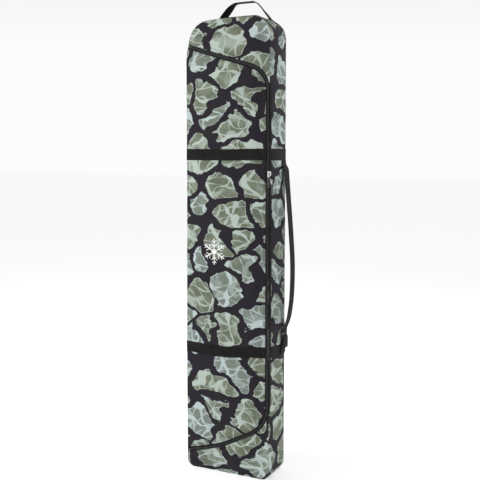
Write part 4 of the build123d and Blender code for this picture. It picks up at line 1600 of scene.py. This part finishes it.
def dress(node, material, bevel):
    """Give a CAD node its material and a fine round on its edges."""
    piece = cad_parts[node]
    piece.data.materials.clear()
    piece.data.materials.append(material)
    modifier = piece.modifiers.new("Bevel", "BEVEL")
    modifier.width = bevel
    modifier.segments = 3
    modifier.limit_method = "ANGLE"
    modifier.angle_limit = math.radians(35)
    piece.modifiers.new("Normals", "WEIGHTED_NORMAL")


def make_hard_parts():
    """Sliders, pulls and the ladder buckle."""
    for name in ("upper", "lower"):
        dress(f"{name}_slider", metal, 0.0004)
        dress(f"{name}_pull_tab", metal, 0.00025)
        dress(f"{name}_pull_grip", rubber, 0.0005)
    dress("ladder_buckle", plastic, 0.0006)


# Studio

def make_camera():
    """A camera in front and to the right of the bag, a little above its middle."""
    data = bpy.data.cameras.new("camera")
    data.lens = CAMERA_LENS
    data.clip_end = 50
    camera = bpy.data.objects.new("camera", data)
    x, y = math.sin(CAMERA_TURN) * CAMERA_DISTANCE, -math.cos(CAMERA_TURN) * CAMERA_DISTANCE
    camera.location = (x, y, CAMERA_HEIGHT)
    camera.rotation_euler = (math.radians(90) + CAMERA_PITCH, 0, CAMERA_TURN + CAMERA_AIM)
    bpy.context.scene.collection.objects.link(camera)
    bpy.context.scene.camera = camera


def make_light(name, place, size, power):
    """A soft square lamp that faces the bag's middle."""
    data = bpy.data.lights.new(name, "AREA")
    data.energy = power
    data.size = size
    lamp = bpy.data.objects.new(name, data)
    lamp.location = place
    lamp.rotation_euler = (Vector((0, 0, 0.8)) - Vector(place)).to_track_quat("-Z", "Y").to_euler()
    bpy.context.scene.collection.objects.link(lamp)


def make_studio():
    """A pale floor, a surround that is white at the horizon and dims overhead, and soft lamps."""
    mesh = bpy.data.meshes.new("floor")
    reach = 30.0
    corners = [(x * reach, y * reach, 0) for x, y in ((-1, -1), (1, -1), (1, 1), (-1, 1))]
    mesh.from_pydata(corners, [], [(0, 1, 2, 3)])
    mesh.materials.append(floor_material())
    floor = bpy.data.objects.new("floor", mesh)
    bpy.context.scene.collection.objects.link(floor)
    world = bpy.data.worlds.new("studio")
    world.use_nodes = True
    tree = world.node_tree
    direction = tree.nodes.new("ShaderNodeTexCoord")
    parts = tree.nodes.new("ShaderNodeSeparateXYZ")
    dim = tree.nodes.new("ShaderNodeMapRange")
    for socket, value in {"From Min": 0.12, "From Max": 0.75, "To Min": 0.97, "To Max": 0.42}.items():
        dim.inputs[socket].default_value = value
    tree.links.new(direction.outputs["Generated"], parts.inputs[0])
    tree.links.new(parts.outputs["Z"], dim.inputs["Value"])
    tree.links.new(dim.outputs[0], tree.nodes["Background"].inputs["Strength"])
    tree.nodes["Background"].inputs["Color"].default_value = (1, 1, 1, 1)
    bpy.context.scene.world = world
    make_light("key", (-2.7, -1.5, 2.7), 0.9, 62)
    make_light("fill", (3.0, -1.4, 1.4), 2.0, 9)
    make_light("rim", (1.0, 2.6, 2.6), 1.6, 16)
    bpy.context.scene.view_settings.view_transform = "Standard"


make_camera()
make_studio()
make_walls()
make_flat_walls()
make_zip()
make_bands()
make_stitching()
make_emblem()
make_handle()
make_strap()
make_hard_parts()
